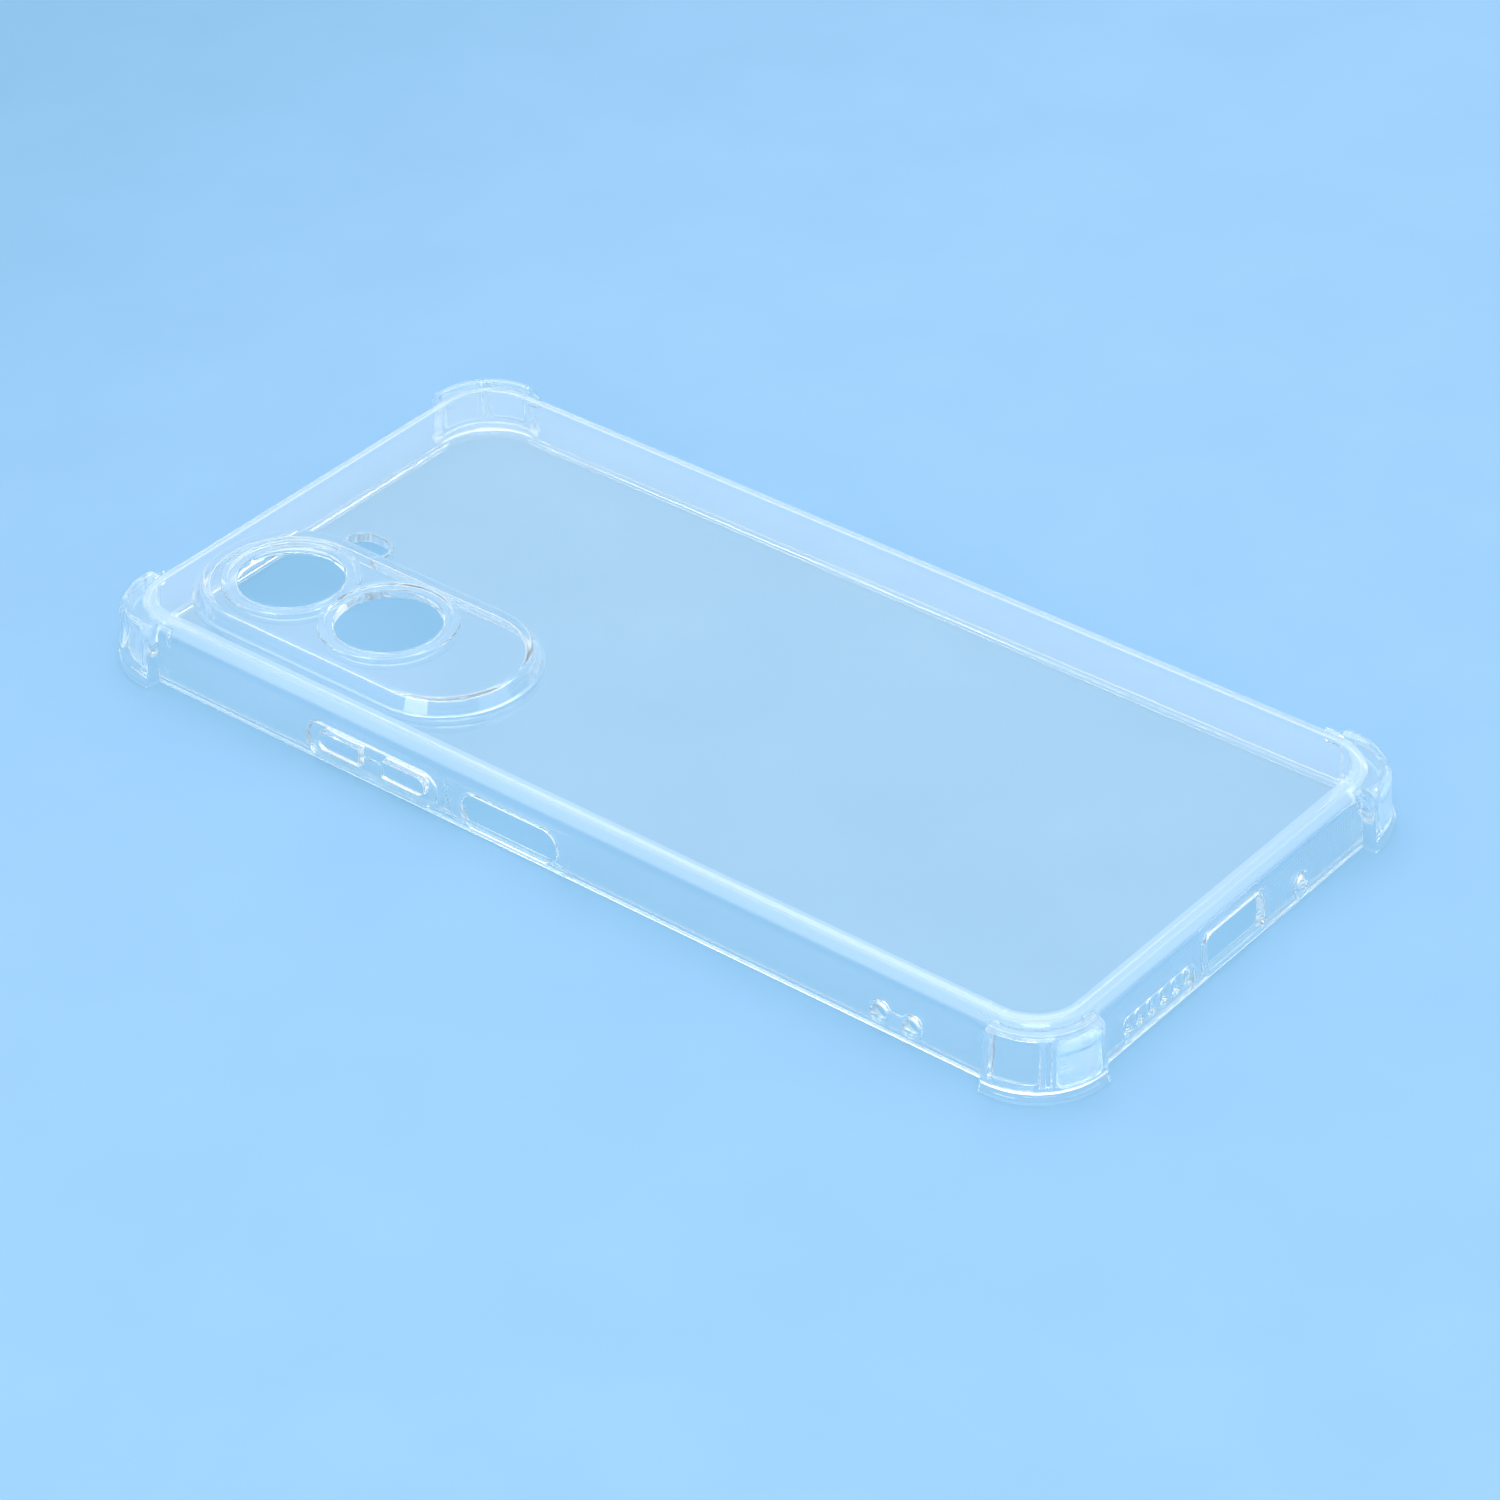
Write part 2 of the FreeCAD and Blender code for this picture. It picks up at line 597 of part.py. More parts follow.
def speaker_grille():
    plate = along_wall(wall_section(SPEAKER_THICKNESS - WALL), BOTTOM).common(speaker_outline())
    for index in range(SPEAKER_COUNT):
        along = SPEAKER_FIRST + index * SPEAKER_PITCH
        slot = wall_opening(SPEAKER_SLOT_HEIGHT, SPEAKER_SLOT_WIDTH, BOTTOM, (0, 0))
        slot.rotate(Vector(0, 0, 0), Vector(0, 1, 0), 90)
        slot.translate(Vector(along, 0, SPEAKER_CENTRE_Z))
        plate = plate.cut(slot)
    return plate.removeSplitter()


def usb_outline(side_grow=0.0, grow=0.0):
    return wall_opening(USB_LENGTH + 2 * side_grow, USB_HEIGHT + 2 * grow, BOTTOM, USB_CENTRE,
                        corner=USB_CORNER + grow)


def usb_port_frame():
    ring = usb_outline(USB_SIDE_WIDTH, USB_FRAME_WIDTH).cut(usb_outline())
    return along_wall(wall_section(USB_PROUD), BOTTOM).common(ring)


def microphone_outline(radius):
    return wall_opening(2 * radius, 2 * radius, BOTTOM, MIC_CENTRE)


def microphone_port():
    ring = microphone_outline(MIC_RING_RADIUS).cut(microphone_outline(MIC_RADIUS))
    return along_wall(wall_section(MIC_PROUD), BOTTOM).common(ring)


# ---------------------------------------------------------------- walls and lip
def left_wall():
    wall = along_wall(wall_section(), LEFT).cut(scoop())
    for opening in (volume_outline(VOLUME_FRAME_WIDTH), power_outline(POWER_FRAME_WIDTH),
                    lanyard_outline()):
        wall = wall.cut(opening)
    return wall.removeSplitter()


def bottom_wall():
    wall = along_wall(wall_section(), BOTTOM)
    for opening in (speaker_outline(), usb_outline(USB_SIDE_WIDTH, USB_FRAME_WIDTH),
                    microphone_outline(MIC_RING_RADIUS)):
        wall = wall.cut(opening)
    return wall.removeSplitter()


# ---------------------------------------------------------------- export
def export(name, shape):
    solids = shape.Solids
    if len(solids) == 1:
        shape = solids[0]
    shape.exportStep(os.path.join("parts", name + ".step"))
    box = shape.BoundBox
    print("%-26s solids %d valid %s volume %8.1f  x %6.2f..%6.2f y %6.2f..%6.2f z %5.2f..%5.2f" % (
        name, len(solids), shape.isValid(), shape.Volume, box.XMin, box.XMax, box.YMin, box.YMax,
        box.ZMin, box.ZMax))


def main():
    os.makedirs("parts", exist_ok=True)
    export("back_panel", back_panel())
    export("camera_island", camera_island())
    export("upper_lens_ring", upper_lens_ring())
    export("lower_lens_ring", lower_lens_ring())
    export("flash_window_rim", flash_window_rim())
    export("front_lip", ring_of(lip_section()))
    export("left_wall", left_wall())
    export("right_wall", along_wall(wall_section(), RIGHT))
    export("top_wall", along_wall(wall_section(), TOP))
    export("bottom_wall", bottom_wall())
    for end, flip_y in (("top", False), ("bottom", True)):
        for hand, flip_x in (("left", True), ("right", False)):
            export("%s_%s_bumper" % (end, hand), corner_bumper(flip_x, flip_y))
    export("volume_surround", volume_surround())
    export("volume_membrane", volume_membrane())
    export("volume_up_key", volume_key(1))
    export("volume_down_key", volume_key(-1))
    export("power_cutout_frame", power_cutout_frame())
    export("lanyard_boss", lanyard_boss())
    export("speaker_grille", speaker_grille())
    export("usb_port_frame", usb_port_frame())
    export("microphone_port", microphone_port())


main()
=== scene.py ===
"""Looks of the clear phone case.

The plain solids of the frame meet face to face, and clear plastic would show every one of those
joints.  So the moulding is built again here as one gap-free clear shell with rounded edges, and
the two volume keys as pieces of their own.  All lengths are metres in the frame's own axes.

The shell is a cross-section carried round the case.  A section point is (u, z), where u is the
distance outwards from the axis of the corner arcs.  Everything raised on it or let into it is an
outline laid on the skin in layers, joined or cut with a boolean.
"""
import bmesh
import bpy
import json
import math
from collections import namedtuple
from mathutils import Matrix, Vector


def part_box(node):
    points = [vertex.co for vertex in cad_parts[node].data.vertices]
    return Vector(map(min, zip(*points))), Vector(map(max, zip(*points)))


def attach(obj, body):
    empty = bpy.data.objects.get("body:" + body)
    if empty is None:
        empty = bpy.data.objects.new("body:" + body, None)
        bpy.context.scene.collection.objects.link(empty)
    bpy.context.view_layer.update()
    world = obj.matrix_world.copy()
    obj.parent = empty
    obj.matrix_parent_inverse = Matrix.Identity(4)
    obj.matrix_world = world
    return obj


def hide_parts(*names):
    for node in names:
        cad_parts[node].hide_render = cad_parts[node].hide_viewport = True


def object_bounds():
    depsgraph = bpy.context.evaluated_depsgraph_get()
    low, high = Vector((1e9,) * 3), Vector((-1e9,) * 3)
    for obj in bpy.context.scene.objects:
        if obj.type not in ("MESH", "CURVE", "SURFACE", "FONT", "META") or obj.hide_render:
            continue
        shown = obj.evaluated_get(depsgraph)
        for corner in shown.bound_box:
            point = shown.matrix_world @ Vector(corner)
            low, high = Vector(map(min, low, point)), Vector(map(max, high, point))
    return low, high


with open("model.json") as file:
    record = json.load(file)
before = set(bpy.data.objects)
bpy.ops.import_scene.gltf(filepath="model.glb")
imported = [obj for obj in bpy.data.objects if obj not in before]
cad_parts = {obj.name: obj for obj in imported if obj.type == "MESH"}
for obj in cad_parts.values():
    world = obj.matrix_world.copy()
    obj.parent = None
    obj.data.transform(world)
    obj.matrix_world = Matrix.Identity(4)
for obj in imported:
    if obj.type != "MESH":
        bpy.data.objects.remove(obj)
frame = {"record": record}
CAD_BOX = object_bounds()

MM = 0.001

# ---------------------------------------------------------------- dimensions
CORNER_RADIUS = 10.0 * MM
WALL = 1.2 * MM
WALL_LEAN = 0.6 * MM
BACK_EDGE_RADIUS = 2.5 * MM
INNER_CHAMFER = 0.8 * MM
FLAT_START = 5.0 * MM            # u where the flat of the back begins its one large face
RIM_REACH = 0.5 * MM

CUSHION_SHIFT = 1.2 * MM         # a cushion's arc axis lies this much further out in X and Y
CUSHION_FOOT_Z = 1.45 * MM
CUSHION_SHOULDER_Z = 7.05 * MM
LAP_TURN = math.radians(47)
SKIN = 0.45 * MM                 # thin skin of the lap and of the tips beside a cushion
CUSHION_END_TURN = math.radians(1.8)
SIDE_TIP = 2.4 * MM
END_TIP = 1.2 * MM
TIP_FADE = 0.35 * MM
WINDOW_LOW = 2.35 * MM
WINDOW_HIGH = 9.1 * MM
WINDOW_CORNER = 0.9 * MM
RIB_WIDTH = 2.2 * MM
POST_TURN = math.radians(3.4)    # from a cushion's end to its window
GROOVE_WIDTH = 0.8 * MM

DISH_DEPTH = 0.6 * MM
DISH_MARGIN = 1.6 * MM
DISH_RUN = 2.0 * MM

LENS_RING_RADIUS = 9.9 * MM
LENS_GROOVE_RADIUS = 8.95 * MM
LENS_GROOVE_INNER = 8.0 * MM
LENS_APERTURE_RADIUS = 7.6 * MM
ISLAND_FOOT = 0.5 * MM
ISLAND_SKIN = 1.2 * MM
FLASH_RIM = 0.6 * MM
FLASH_WIDTH = 5.2 * MM

VOLUME_FRAME = 0.4 * MM
RIDGE_LENGTH = 3.4 * MM
RIDGE_HEIGHT = 0.5 * MM
KEY_GAP = 0.05 * MM
KEY_CORNER = 0.3 * MM
POWER_FRAME = 0.5 * MM
BOSS_RADIUS = 1.85 * MM
WAIST_HEIGHT = 2.2 * MM
SLOT_COUNT = 6
SLOT_WIDTH = 1.5 * MM
SLOT_HEIGHT = 2.8 * MM
SLOT_PITCH = 2.6 * MM
USB_MARGIN_ALONG = 2.6 * MM      # port frame less opening, over both sides
USB_MARGIN_UP = 1.1 * MM
MICROPHONE_RADIUS = 1.1 * MM

SHARP_ANGLE = math.radians(32)
FLOOR_LIFT = 0.02 * MM           # the rim's flat sits this far into the card, with no air under it
ROUND_END = 0.9999               # a full round's radius as a share of half its width, just under
NEARLY_ROUND = 0.999             # one, so that no edge of the outline has zero length

CAMERA_AZIMUTH = math.radians(-50.48)
CAMERA_ELEVATION = math.radians(35.311)
CAMERA_ROLL = math.radians(-1.037)
CAMERA_DISTANCE = 0.695568
CAMERA_SLIDE_RIGHT = 0.001391
CAMERA_SLIDE_UP = -0.002123
CAMERA_LENS = 121.57

# ---------------------------------------------------------------- places, from the frame
RIGHT_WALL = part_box("right_wall")
TOP_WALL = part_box("top_wall")
HALF_WIDTH = RIGHT_WALL[1].x
HALF_LENGTH = TOP_WALL[1].y
RIM_TOP = RIGHT_WALL[0].z
BACK_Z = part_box("back_panel")[1].z
CEILING_Z = RIGHT_WALL[1].z
AXIS_X = HALF_WIDTH - CORNER_RADIUS
AXIS_Y = HALF_LENGTH - CORNER_RADIUS
EDGE_Z = BACK_Z - BACK_EDGE_RADIUS
EDGE_U = CORNER_RADIUS - WALL_LEAN - BACK_EDGE_RADIUS
CUSHION_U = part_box("top_right_bumper")[1].x - 0.4 * MM - AXIS_X - CUSHION_SHIFT
FLANGE_U = CUSHION_U + 0.4 * MM

LEFT, RIGHT, TOP, BOTTOM = "left", "right", "top", "bottom"
CLEAR, DOTTED, MILKY, FROSTED = 0, 1, 2, 3   # places in the list of materials
MATERIALS = []
KEYS = (("volume_up_key", "volume_up", 1), ("volume_down_key", "volume_down", -1))

# A row is one point of the section: on the plain wall, on a cushion (None where the cushion has no
# surface of its own), the share of the cushion's reach, of the skin beside it and of the dish, and
# the material of the strip that follows.
Row = namedtuple("Row", "plain cushion share wing dish look")
# A column is one place round the case: its axis and outward direction, its turn round a corner, and
# how much of the cushion, of the skin beside it and of the dish it has.
Column = namedtuple("Column", "axis outward turn cushion tip dish")


def smooth(t):
    t = min(max(t, 0.0), 1.0)
    return t * t * (3 - 2 * t)


def quarter(t):
    """Rises like the side of a quarter circle from 0 to 1."""
    t = min(max(t, 0.0), 1.0)
    return math.sqrt(1 - (1 - t) ** 2)


# ---------------------------------------------------------------- the outer skin
def on_edge(turn, skin=0.0):
    """Point of the back edge's rounding, or of a skin laid over it."""
    radius = BACK_EDGE_RADIUS + skin
    return (EDGE_U + radius * math.cos(turn), EDGE_Z + radius * math.sin(turn))


def outer_u(z):
    """The plain wall's outer face at a height."""
    if z <= RIM_TOP:
        return CORNER_RADIUS
    if z <= EDGE_Z:
        return CORNER_RADIUS - WALL_LEAN * (z - RIM_TOP) / (EDGE_Z - RIM_TOP)
    return EDGE_U + math.sqrt(max(BACK_EDGE_RADIUS ** 2 - (z - EDGE_Z) ** 2, 0.0))


def inner_u(z):
    """The plain wall's inner face at a height."""
    rise = CEILING_Z - INNER_CHAMFER - RIM_TOP
    return CORNER_RADIUS - WALL - WALL_LEAN * (z - RIM_TOP) / rise


def circle_through(a, b, c):
    """Centre and radius of the circle through three points."""
    ax, ay = a
    bx, by = b[0] - ax, b[1] - ay
    cx, cy = c[0] - ax, c[1] - ay
    d = 2 * (bx * cy - by * cx)
    ux = (cy * (bx * bx + by * by) - by * (cx * cx + cy * cy)) / d
    uy = (bx * (cx * cx + cy * cy) - cx * (bx * bx + by * by)) / d
    return (ax + ux, ay + uy), math.hypot(ux, uy)


LAP = on_edge(LAP_TURN, SKIN)
SHOULDER = (CUSHION_U - WALL_LEAN, CUSHION_SHOULDER_Z)
BULGE = ((SHOULDER[0] + LAP[0]) / 2 + SKIN, (SHOULDER[1] + LAP[1]) / 2 + SKIN)
BULGE_CENTRE, BULGE_RADIUS = circle_through(SHOULDER, BULGE, LAP)


def on_bulge(share):
    """Point of the cushion's crown, from its lap (0) down to its shoulder (1)."""
    start = math.atan2(LAP[1] - BULGE_CENTRE[1], LAP[0] - BULGE_CENTRE[0])
    end = math.atan2(SHOULDER[1] - BULGE_CENTRE[1], SHOULDER[0] - BULGE_CENTRE[0])
    turn = start + (end - start) * share
    return (BULGE_CENTRE[0] + BULGE_RADIUS * math.cos(turn),
            BULGE_CENTRE[1] + BULGE_RADIUS * math.sin(turn))


def cushion_u(z):
    """The cushion's outer face at a height, from its own axis."""
    if z <= CUSHION_SHOULDER_Z:
        share = (z - CUSHION_FOOT_Z) / (CUSHION_SHOULDER_Z - CUSHION_FOOT_Z)
        return CUSHION_U - WALL_LEAN * share
    return BULGE_CENTRE[0] + math.sqrt(max(BULGE_RADIUS ** 2 - (z - BULGE_CENTRE[1]) ** 2, 0.0))


def cushion_reach(turn, radius):
    """How much further out a cushion's surface lies than its radius, seen from the plain axis."""
    turn = min(turn, math.pi / 2 - turn)
    straight = (radius + CUSHION_SHIFT) / math.cos(turn)
    if straight * math.sin(turn) <= CUSHION_SHIFT:
        return straight - radius
    along = CUSHION_SHIFT * (math.cos(turn) + math.sin(turn))
    return along + math.sqrt(radius ** 2 - 2 * CUSHION_SHIFT ** 2 + along ** 2) - radius


# ---------------------------------------------------------------- cross-section
def section_rows():
    """The whole cross-section from the middle of the back round to the middle of the ceiling."""
    rows = []

    def add(plain, cushion=None, share=1.0, wing=0.0, dish=0.0, look=CLEAR):
        rows.append(Row(plain, cushion, share, wing, dish, look))

    add((FLAT_START, BACK_Z))
    add((EDGE_U - 0.4 * MM, BACK_Z), look=FROSTED)
    for degrees in (90, 80, 71, 63, 56, 51.5, 48.4):
        add(on_edge(math.radians(degrees)), look=FROSTED if degrees > 60 else MILKY)

    # the cushion's shelf, crest and crown, beside the lower half of the back edge
    crown = [((LAP[0] - 0.16 * MM, 9.44 * MM), 0.5), ((LAP[0] - 0.34 * MM, 9.6 * MM), 1.0),
             ((LAP[0] - 0.12 * MM, 9.65 * MM), 1.0)]
    crown += [(on_bulge(share), 1.0) for share in (0.05, 0.12, 0.22, 0.34, 0.48, 0.62, 0.76, 0.88)]
    degrees = (47, 45, 42.5, 39.5, 36, 32, 27, 21, 14, 7, 0)
    for angle, (cushion, share) in zip(degrees, crown):
        add(on_edge(math.radians(angle)), cushion, share, wing=smooth((48.4 - angle) / 3.4),
            look=MILKY if angle > 25 else CLEAR)

    heights = ((7.05, 1.0), (6.97, 0.9), (6.92, 0.5), (6.86, 0.0), (6.3, 0), (5.7, 0), (4.6, 0),
               (3.4, 0), (2.3, 0), (1.45, 0))
    for height, wing in heights:
        z = height * MM
        add((outer_u(z), z), (cushion_u(z), z), wing=wing, dish=smooth((7.3 - height) / 1.2))

    # the front rim's seam and foot: height, inset of the plain wall, reach of the cushion's flange
    foot = ((1.32, 0, -0.26), (1.16, 0, -0.12), (1.0, 0, -0.04), (0.9, 0, -0.01), (0.84, 0.1, 0),
            (0.76, 0.1, 0), (0.7, 0, 0), (0.45, 0, -0.02), (0.26, 0.05, -0.09),
            (0.13, 0.14, -0.2), (0.06, 0.27, -0.34), (0.04, 0.42, -0.5), (0.04, 0.62, -0.8),
            (0.0, 0.68, -0.9))
    for height, inset, flange in foot:
        z = height * MM
        dish = 1.0 if z > RIM_TOP else 0.0
        look = FROSTED if z <= RIM_TOP else CLEAR
        add((outer_u(z) - inset * MM, z), (FLANGE_U + flange * MM, z), dish=dish, look=look)

    # round the rim to its inner side, up the inner wall, and over the chamfer to the ceiling
    rim = CORNER_RADIUS - WALL - RIM_REACH
    for du, height in ((0.85, 0), (0.78, 0.04), (0.45, 0.04), (0.28, 0.07), (0.13, 0.15), (0.04, 0.25),
                       (0, 0.38), (0, 0.5), (0.04, 0.64), (0.15, 0.75), (0.32, 0.8)):
        add((rim + du * MM, height * MM))
    for height in (0.82, 1.0, 2.4, 4.0, 5.6, 7.0, 7.8):
        add((inner_u(height * MM), height * MM), look=DOTTED if height < 7 else CLEAR)
    foot_u = inner_u(CEILING_Z - INNER_CHAMFER)
    for du, dz in ((-0.04, -0.85), (-0.12, -0.7), (-0.24, -0.56), (-0.5, -0.29), (-0.64, -0.16),
                   (-0.8, -0.05), (-1.0, 0)):
        add((foot_u + du * MM, CEILING_Z + dz * MM), look=FROSTED if dz < -0.1 else CLEAR)
    add((FLAT_START, CEILING_Z))
    return rows


def place_row(row, column):
    """Where one row of the section lies in one column."""
    u, z = row.plain
    if row.wing and column.tip:
        skin = SKIN * row.wing * column.tip
        lift = math.atan2(max(z - EDGE_Z, 0.0), u - EDGE_U) if z > EDGE_Z else 0.0
        u += skin * math.cos(lift)
        z += skin * math.sin(lift)
    u -= DISH_DEPTH * row.dish * column.dish
    if row.cushion and column.cushion:
        cu, cz = row.cushion
        cu += row.share * cushion_reach(column.turn, cu)
        u += (cu - u) * column.cushion
        z += (cz - z) * column.cushion
    return Vector((column.axis[0] + u * column.outward[0], column.axis[1] + u * column.outward[1], z))


# ---------------------------------------------------------------- columns round the case
def dish_span():
    """Middle and half length of the flat of the dish round the power opening."""
    low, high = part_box("power_cutout_frame")
    return (low.y + high.y) / 2, (high.y - low.y) / 2 - POWER_FRAME + DISH_MARGIN


def dish_share(along):
    """Depth of the dish, as a share, along the left wall."""
    middle, half = dish_span()
    return smooth((half + DISH_RUN - abs(along - middle)) / DISH_RUN)


def straight_places(length, tip, extra=()):
    """Distances along a straight wall where a column stands."""
    fades = [tip - TIP_FADE * share for share in (1.0, 0.75, 0.5, 0.25, 0.1, 0.0)]
    places = fades + [length - place for place in fades] + list(extra)
    count = round(length / (9 * MM))
    regular = [length * (step + 0.5) / count for step in range(count)]
    places += [place for place in regular if min(abs(place - p) for p in places) > 1.5 * MM]
    return sorted(places)


def straight_columns(start, direction, outward, length, tip, extra=(), dish=None):
    columns = []
    for place in straight_places(length, tip, extra):
        axis = (start[0] + direction[0] * place, start[1] + direction[1] * place)
        from_end = min(place, length - place)
        depth = dish(axis[1]) if dish else 0.0
        columns.append(Column(axis, outward, 0.0, 0.0, quarter((tip - from_end) / TIP_FADE), depth))
    return columns


def corner_columns(axis, start_turn):
    rise = [CUSHION_END_TURN * share for share in (0, 0.08, 0.2, 0.38, 0.65, 1.0)]
    middle = [math.radians(3.6 * step) for step in range(1, 25)]
    turns = rise + [turn for turn in middle if rise[-1] < turn < math.pi / 2 - rise[-1]]
    turns += [math.pi / 2 - turn for turn in reversed(rise)]
    columns = []
    for turn in turns:
        whole = start_turn + turn
        from_end = min(turn, math.pi / 2 - turn)
        share = quarter(from_end / CUSHION_END_TURN)
        columns.append(Column(axis, (math.cos(whole), math.sin(whole)), turn, share, 1.0, 0.0))
    return columns


def all_columns():
    """Anticlockwise from the lower end of the right wall."""
    middle, half = dish_span()
    slopes = []
    for step in range(9):
        reach = half + DISH_RUN * step / 8
        slopes += [AXIS_Y - (middle + reach), AXIS_Y - (middle - reach)]
    long_wall, short_wall = 2 * AXIS_Y, 2 * AXIS_X
    columns = straight_columns((AXIS_X, -AXIS_Y), (0, 1), (1, 0), long_wall, SIDE_TIP)
    columns += corner_columns((AXIS_X, AXIS_Y), 0)
    columns += straight_columns((AXIS_X, AXIS_Y), (-1, 0), (0, 1), short_wall, END_TIP)
    columns += corner_columns((-AXIS_X, AXIS_Y), math.pi / 2)
    columns += straight_columns((-AXIS_X, AXIS_Y), (0, -1), (-1, 0), long_wall, SIDE_TIP,
                                slopes, dish_share)
    columns += corner_columns((-AXIS_X, -AXIS_Y), math.pi)
    columns += straight_columns((-AXIS_X, -AXIS_Y), (1, 0), (0, -1), short_wall, END_TIP)
    columns += corner_columns((AXIS_X, -AXIS_Y), 1.5 * math.pi)
    return columns


def sweep_shell():
    """The plain moulding with its four cushions, as one closed mesh."""
    rows = section_rows()
    columns = all_columns()
    mesh_maker = bmesh.new()
    grid = [[mesh_maker.verts.new(place_row(row, column)) for row in rows] for column in columns]
    for index, here in enumerate(grid):
        after = grid[(index + 1) % len(grid)]
        for step in range(len(rows) - 1):
            face = mesh_maker.faces.new((here[step], after[step], after[step + 1], here[step + 1]))
            row = rows[step]
            on_crown = row.cushion and columns[index].cushion and row.plain[1] > CUSHION_FOOT_Z
            face.material_index = MILKY if on_crown else row.look
    mesh_maker.faces.new([line[0] for line in grid])
    mesh_maker.faces.new([line[-1] for line in reversed(grid)])
    return finish_mesh(mesh_maker, "case_shell")


def finish_mesh(mesh_maker, name):
    bmesh.ops.recalc_face_normals(mesh_maker, faces=mesh_maker.faces)
    mesh = bpy.data.meshes.new(name)
    mesh_maker.to_mesh(mesh)
    mesh_maker.free()
    for material in MATERIALS:
        mesh.materials.append(material)
    piece = bpy.data.objects.new(name, mesh)
    bpy.context.scene.collection.objects.link(piece)
    return piece


# ---------------------------------------------------------------- outlines laid on a surface
def outline(centre, length, height, radii, steps, spacing=None):
    """Closed outline of (along, up, along normal, up normal), a rectangle with rounded corners.
    radii is one radius, or four: upper far, upper near, lower near, lower far."""
    if not isinstance(radii, tuple):
        radii = (radii,) * 4
    points = []
    for corner, radius in enumerate(radii):
        sx, sy = ((1, 1), (-1, 1), (-1, -1), (1, -1))[corner]
        cx = centre[0] + sx * (length / 2 - radius)
        cy = centre[1] + sy * (height / 2 - radius)
        for step in range(steps + 1):
            turn = math.pi / 2 * (corner + step / steps)
            nx, ny = math.cos(turn), math.sin(turn)
            points.append((cx + radius * nx, cy + radius * ny, nx, ny))
    if spacing is None:
        return points
    dense = []
    for here, after in zip(points, points[1:] + points[:1]):
        dense.append(here)
        gap = math.hypot(after[0] - here[0], after[1] - here[1])
        parts = int(gap / spacing) + 1
        for part in range(1, parts):
            share = part / parts
            dense.append(tuple(a + (b - a) * share for a, b in zip(here, after)))
    return dense


def circle(centre, radius, steps):
    return outline(centre, 2 * radius, 2 * radius, radius * ROUND_END, steps)


def layered(name, place, points, layers, look=CLEAR, fill=False, cap=None):
    """Closed solid: each layer is (offset, proud), the outline grown by offset and lifted by proud.
    fill carries the last layer on to its own middle, so that it follows a curved surface.
    cap is the last face's material where it is not that of the sides."""
    mesh_maker = bmesh.new()
    middle_x = sum(point[0] for point in points) / len(points)
    middle_y = sum(point[1] for point in points) / len(points)
    loops = []
    for offset, proud in layers:
        loops.append([(x + nx * offset, y + ny * offset, proud) for x, y, nx, ny in points])
    if fill:
        for share in (0.85, 0.68, 0.5, 0.32, 0.15, 0.03):
            loops.append([(middle_x + (x - middle_x) * share, middle_y + (y - middle_y) * share, h)
                          for x, y, h in loops[len(layers) - 1]])
    grid = [[mesh_maker.verts.new(place(*point)) for point in loop] for loop in loops]
    for here, after in zip(grid, grid[1:]):
        for index in range(len(points)):
            nearby = (index + 1) % len(points)
            mesh_maker.faces.new((here[index], here[nearby], after[nearby], after[index]))
    mesh_maker.faces.new(list(reversed(grid[0])))
    last = mesh_maker.faces.new(grid[-1])
    for face in mesh_maker.faces:
        face.material_index = look
    if cap is not None:
        last.material_index = cap
    return finish_mesh(mesh_maker, name)


def on_wall(side):
    """Placing function: along the wall, up, and proud of its plain outer face."""
    def place(along, z, proud):
        reach = outer_u(z) + proud
        if side in (LEFT, RIGHT):
            sign = 1 if side == RIGHT else -1
            return Vector((sign * (AXIS_X + reach), along, z))
        sign = 1 if side == TOP else -1
        return Vector((along, sign * (AXIS_Y + reach), z))
    return place


def on_back(x, y, proud):
    return Vector((x, y, BACK_Z + proud))


def on_cushion(flip_x, flip_y):
    """Placing function on a corner cushion: turn round its axis, height, proud."""
    def place(turn, z, proud):
        reach = cushion_u(z) + proud
        x = AXIS_X + CUSHION_SHIFT + reach * math.cos(turn)
        y = AXIS_Y + CUSHION_SHIFT + reach * math.sin(turn)
        return Vector((flip_x * x, flip_y * y, z))
    return place


def combine(base, tool, operation):
    """Boolean of two closed solids; the tool is used up."""
    modifier = base.modifiers.new(operation, "BOOLEAN")
    modifier.operation = operation
    modifier.solver = "MANIFOLD"
    modifier.object = tool
    with bpy.context.temp_override(object=base, active_object=base):
        bpy.ops.object.modifier_apply(modifier=modifier.name)
    bpy.data.objects.remove(tool)


def join(base, tool):
    combine(base, tool, "UNION")


def cut(base, tool):
    combine(base, tool, "DIFFERENCE")


def mm(*pairs):
    """Layers given in millimetres."""
    return [(offset * MM, proud * MM) for offset, proud in pairs]


def wall_spot(node, side):
    """Middle and size of a node, along its wall and upwards."""
    low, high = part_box(node)
    axis = 1 if side in (LEFT, RIGHT) else 0
    return ((low[axis] + high[axis]) / 2, (low.z + high.z) / 2), (high[axis] - low[axis], high.z - low.z)


# ---------------------------------------------------------------- camera island, lenses, flash
def island_outline(grow=0.0):
    low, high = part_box("camera_island")
    width = high.x - low.x - 2 * ISLAND_FOOT + 2 * grow
    length = high.y - low.y - 2 * ISLAND_FOOT + 2 * grow
    centre = ((low.x + high.x) / 2, (low.y + high.y) / 2)
    return outline(centre, width, length, width / 2 * ROUND_END, 24)


def lens_centres():
    """From the whole lower ring, and from the upper ring, which the lower one cuts into."""
    low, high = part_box("lower_lens_ring")
    radius = (high.x - low.x) / 2
    lower = ((low.x + high.x) / 2, low.y + radius)
    low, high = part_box("upper_lens_ring")
    upper = ((low.x + high.x) / 2, high.y - radius)
    return upper, lower


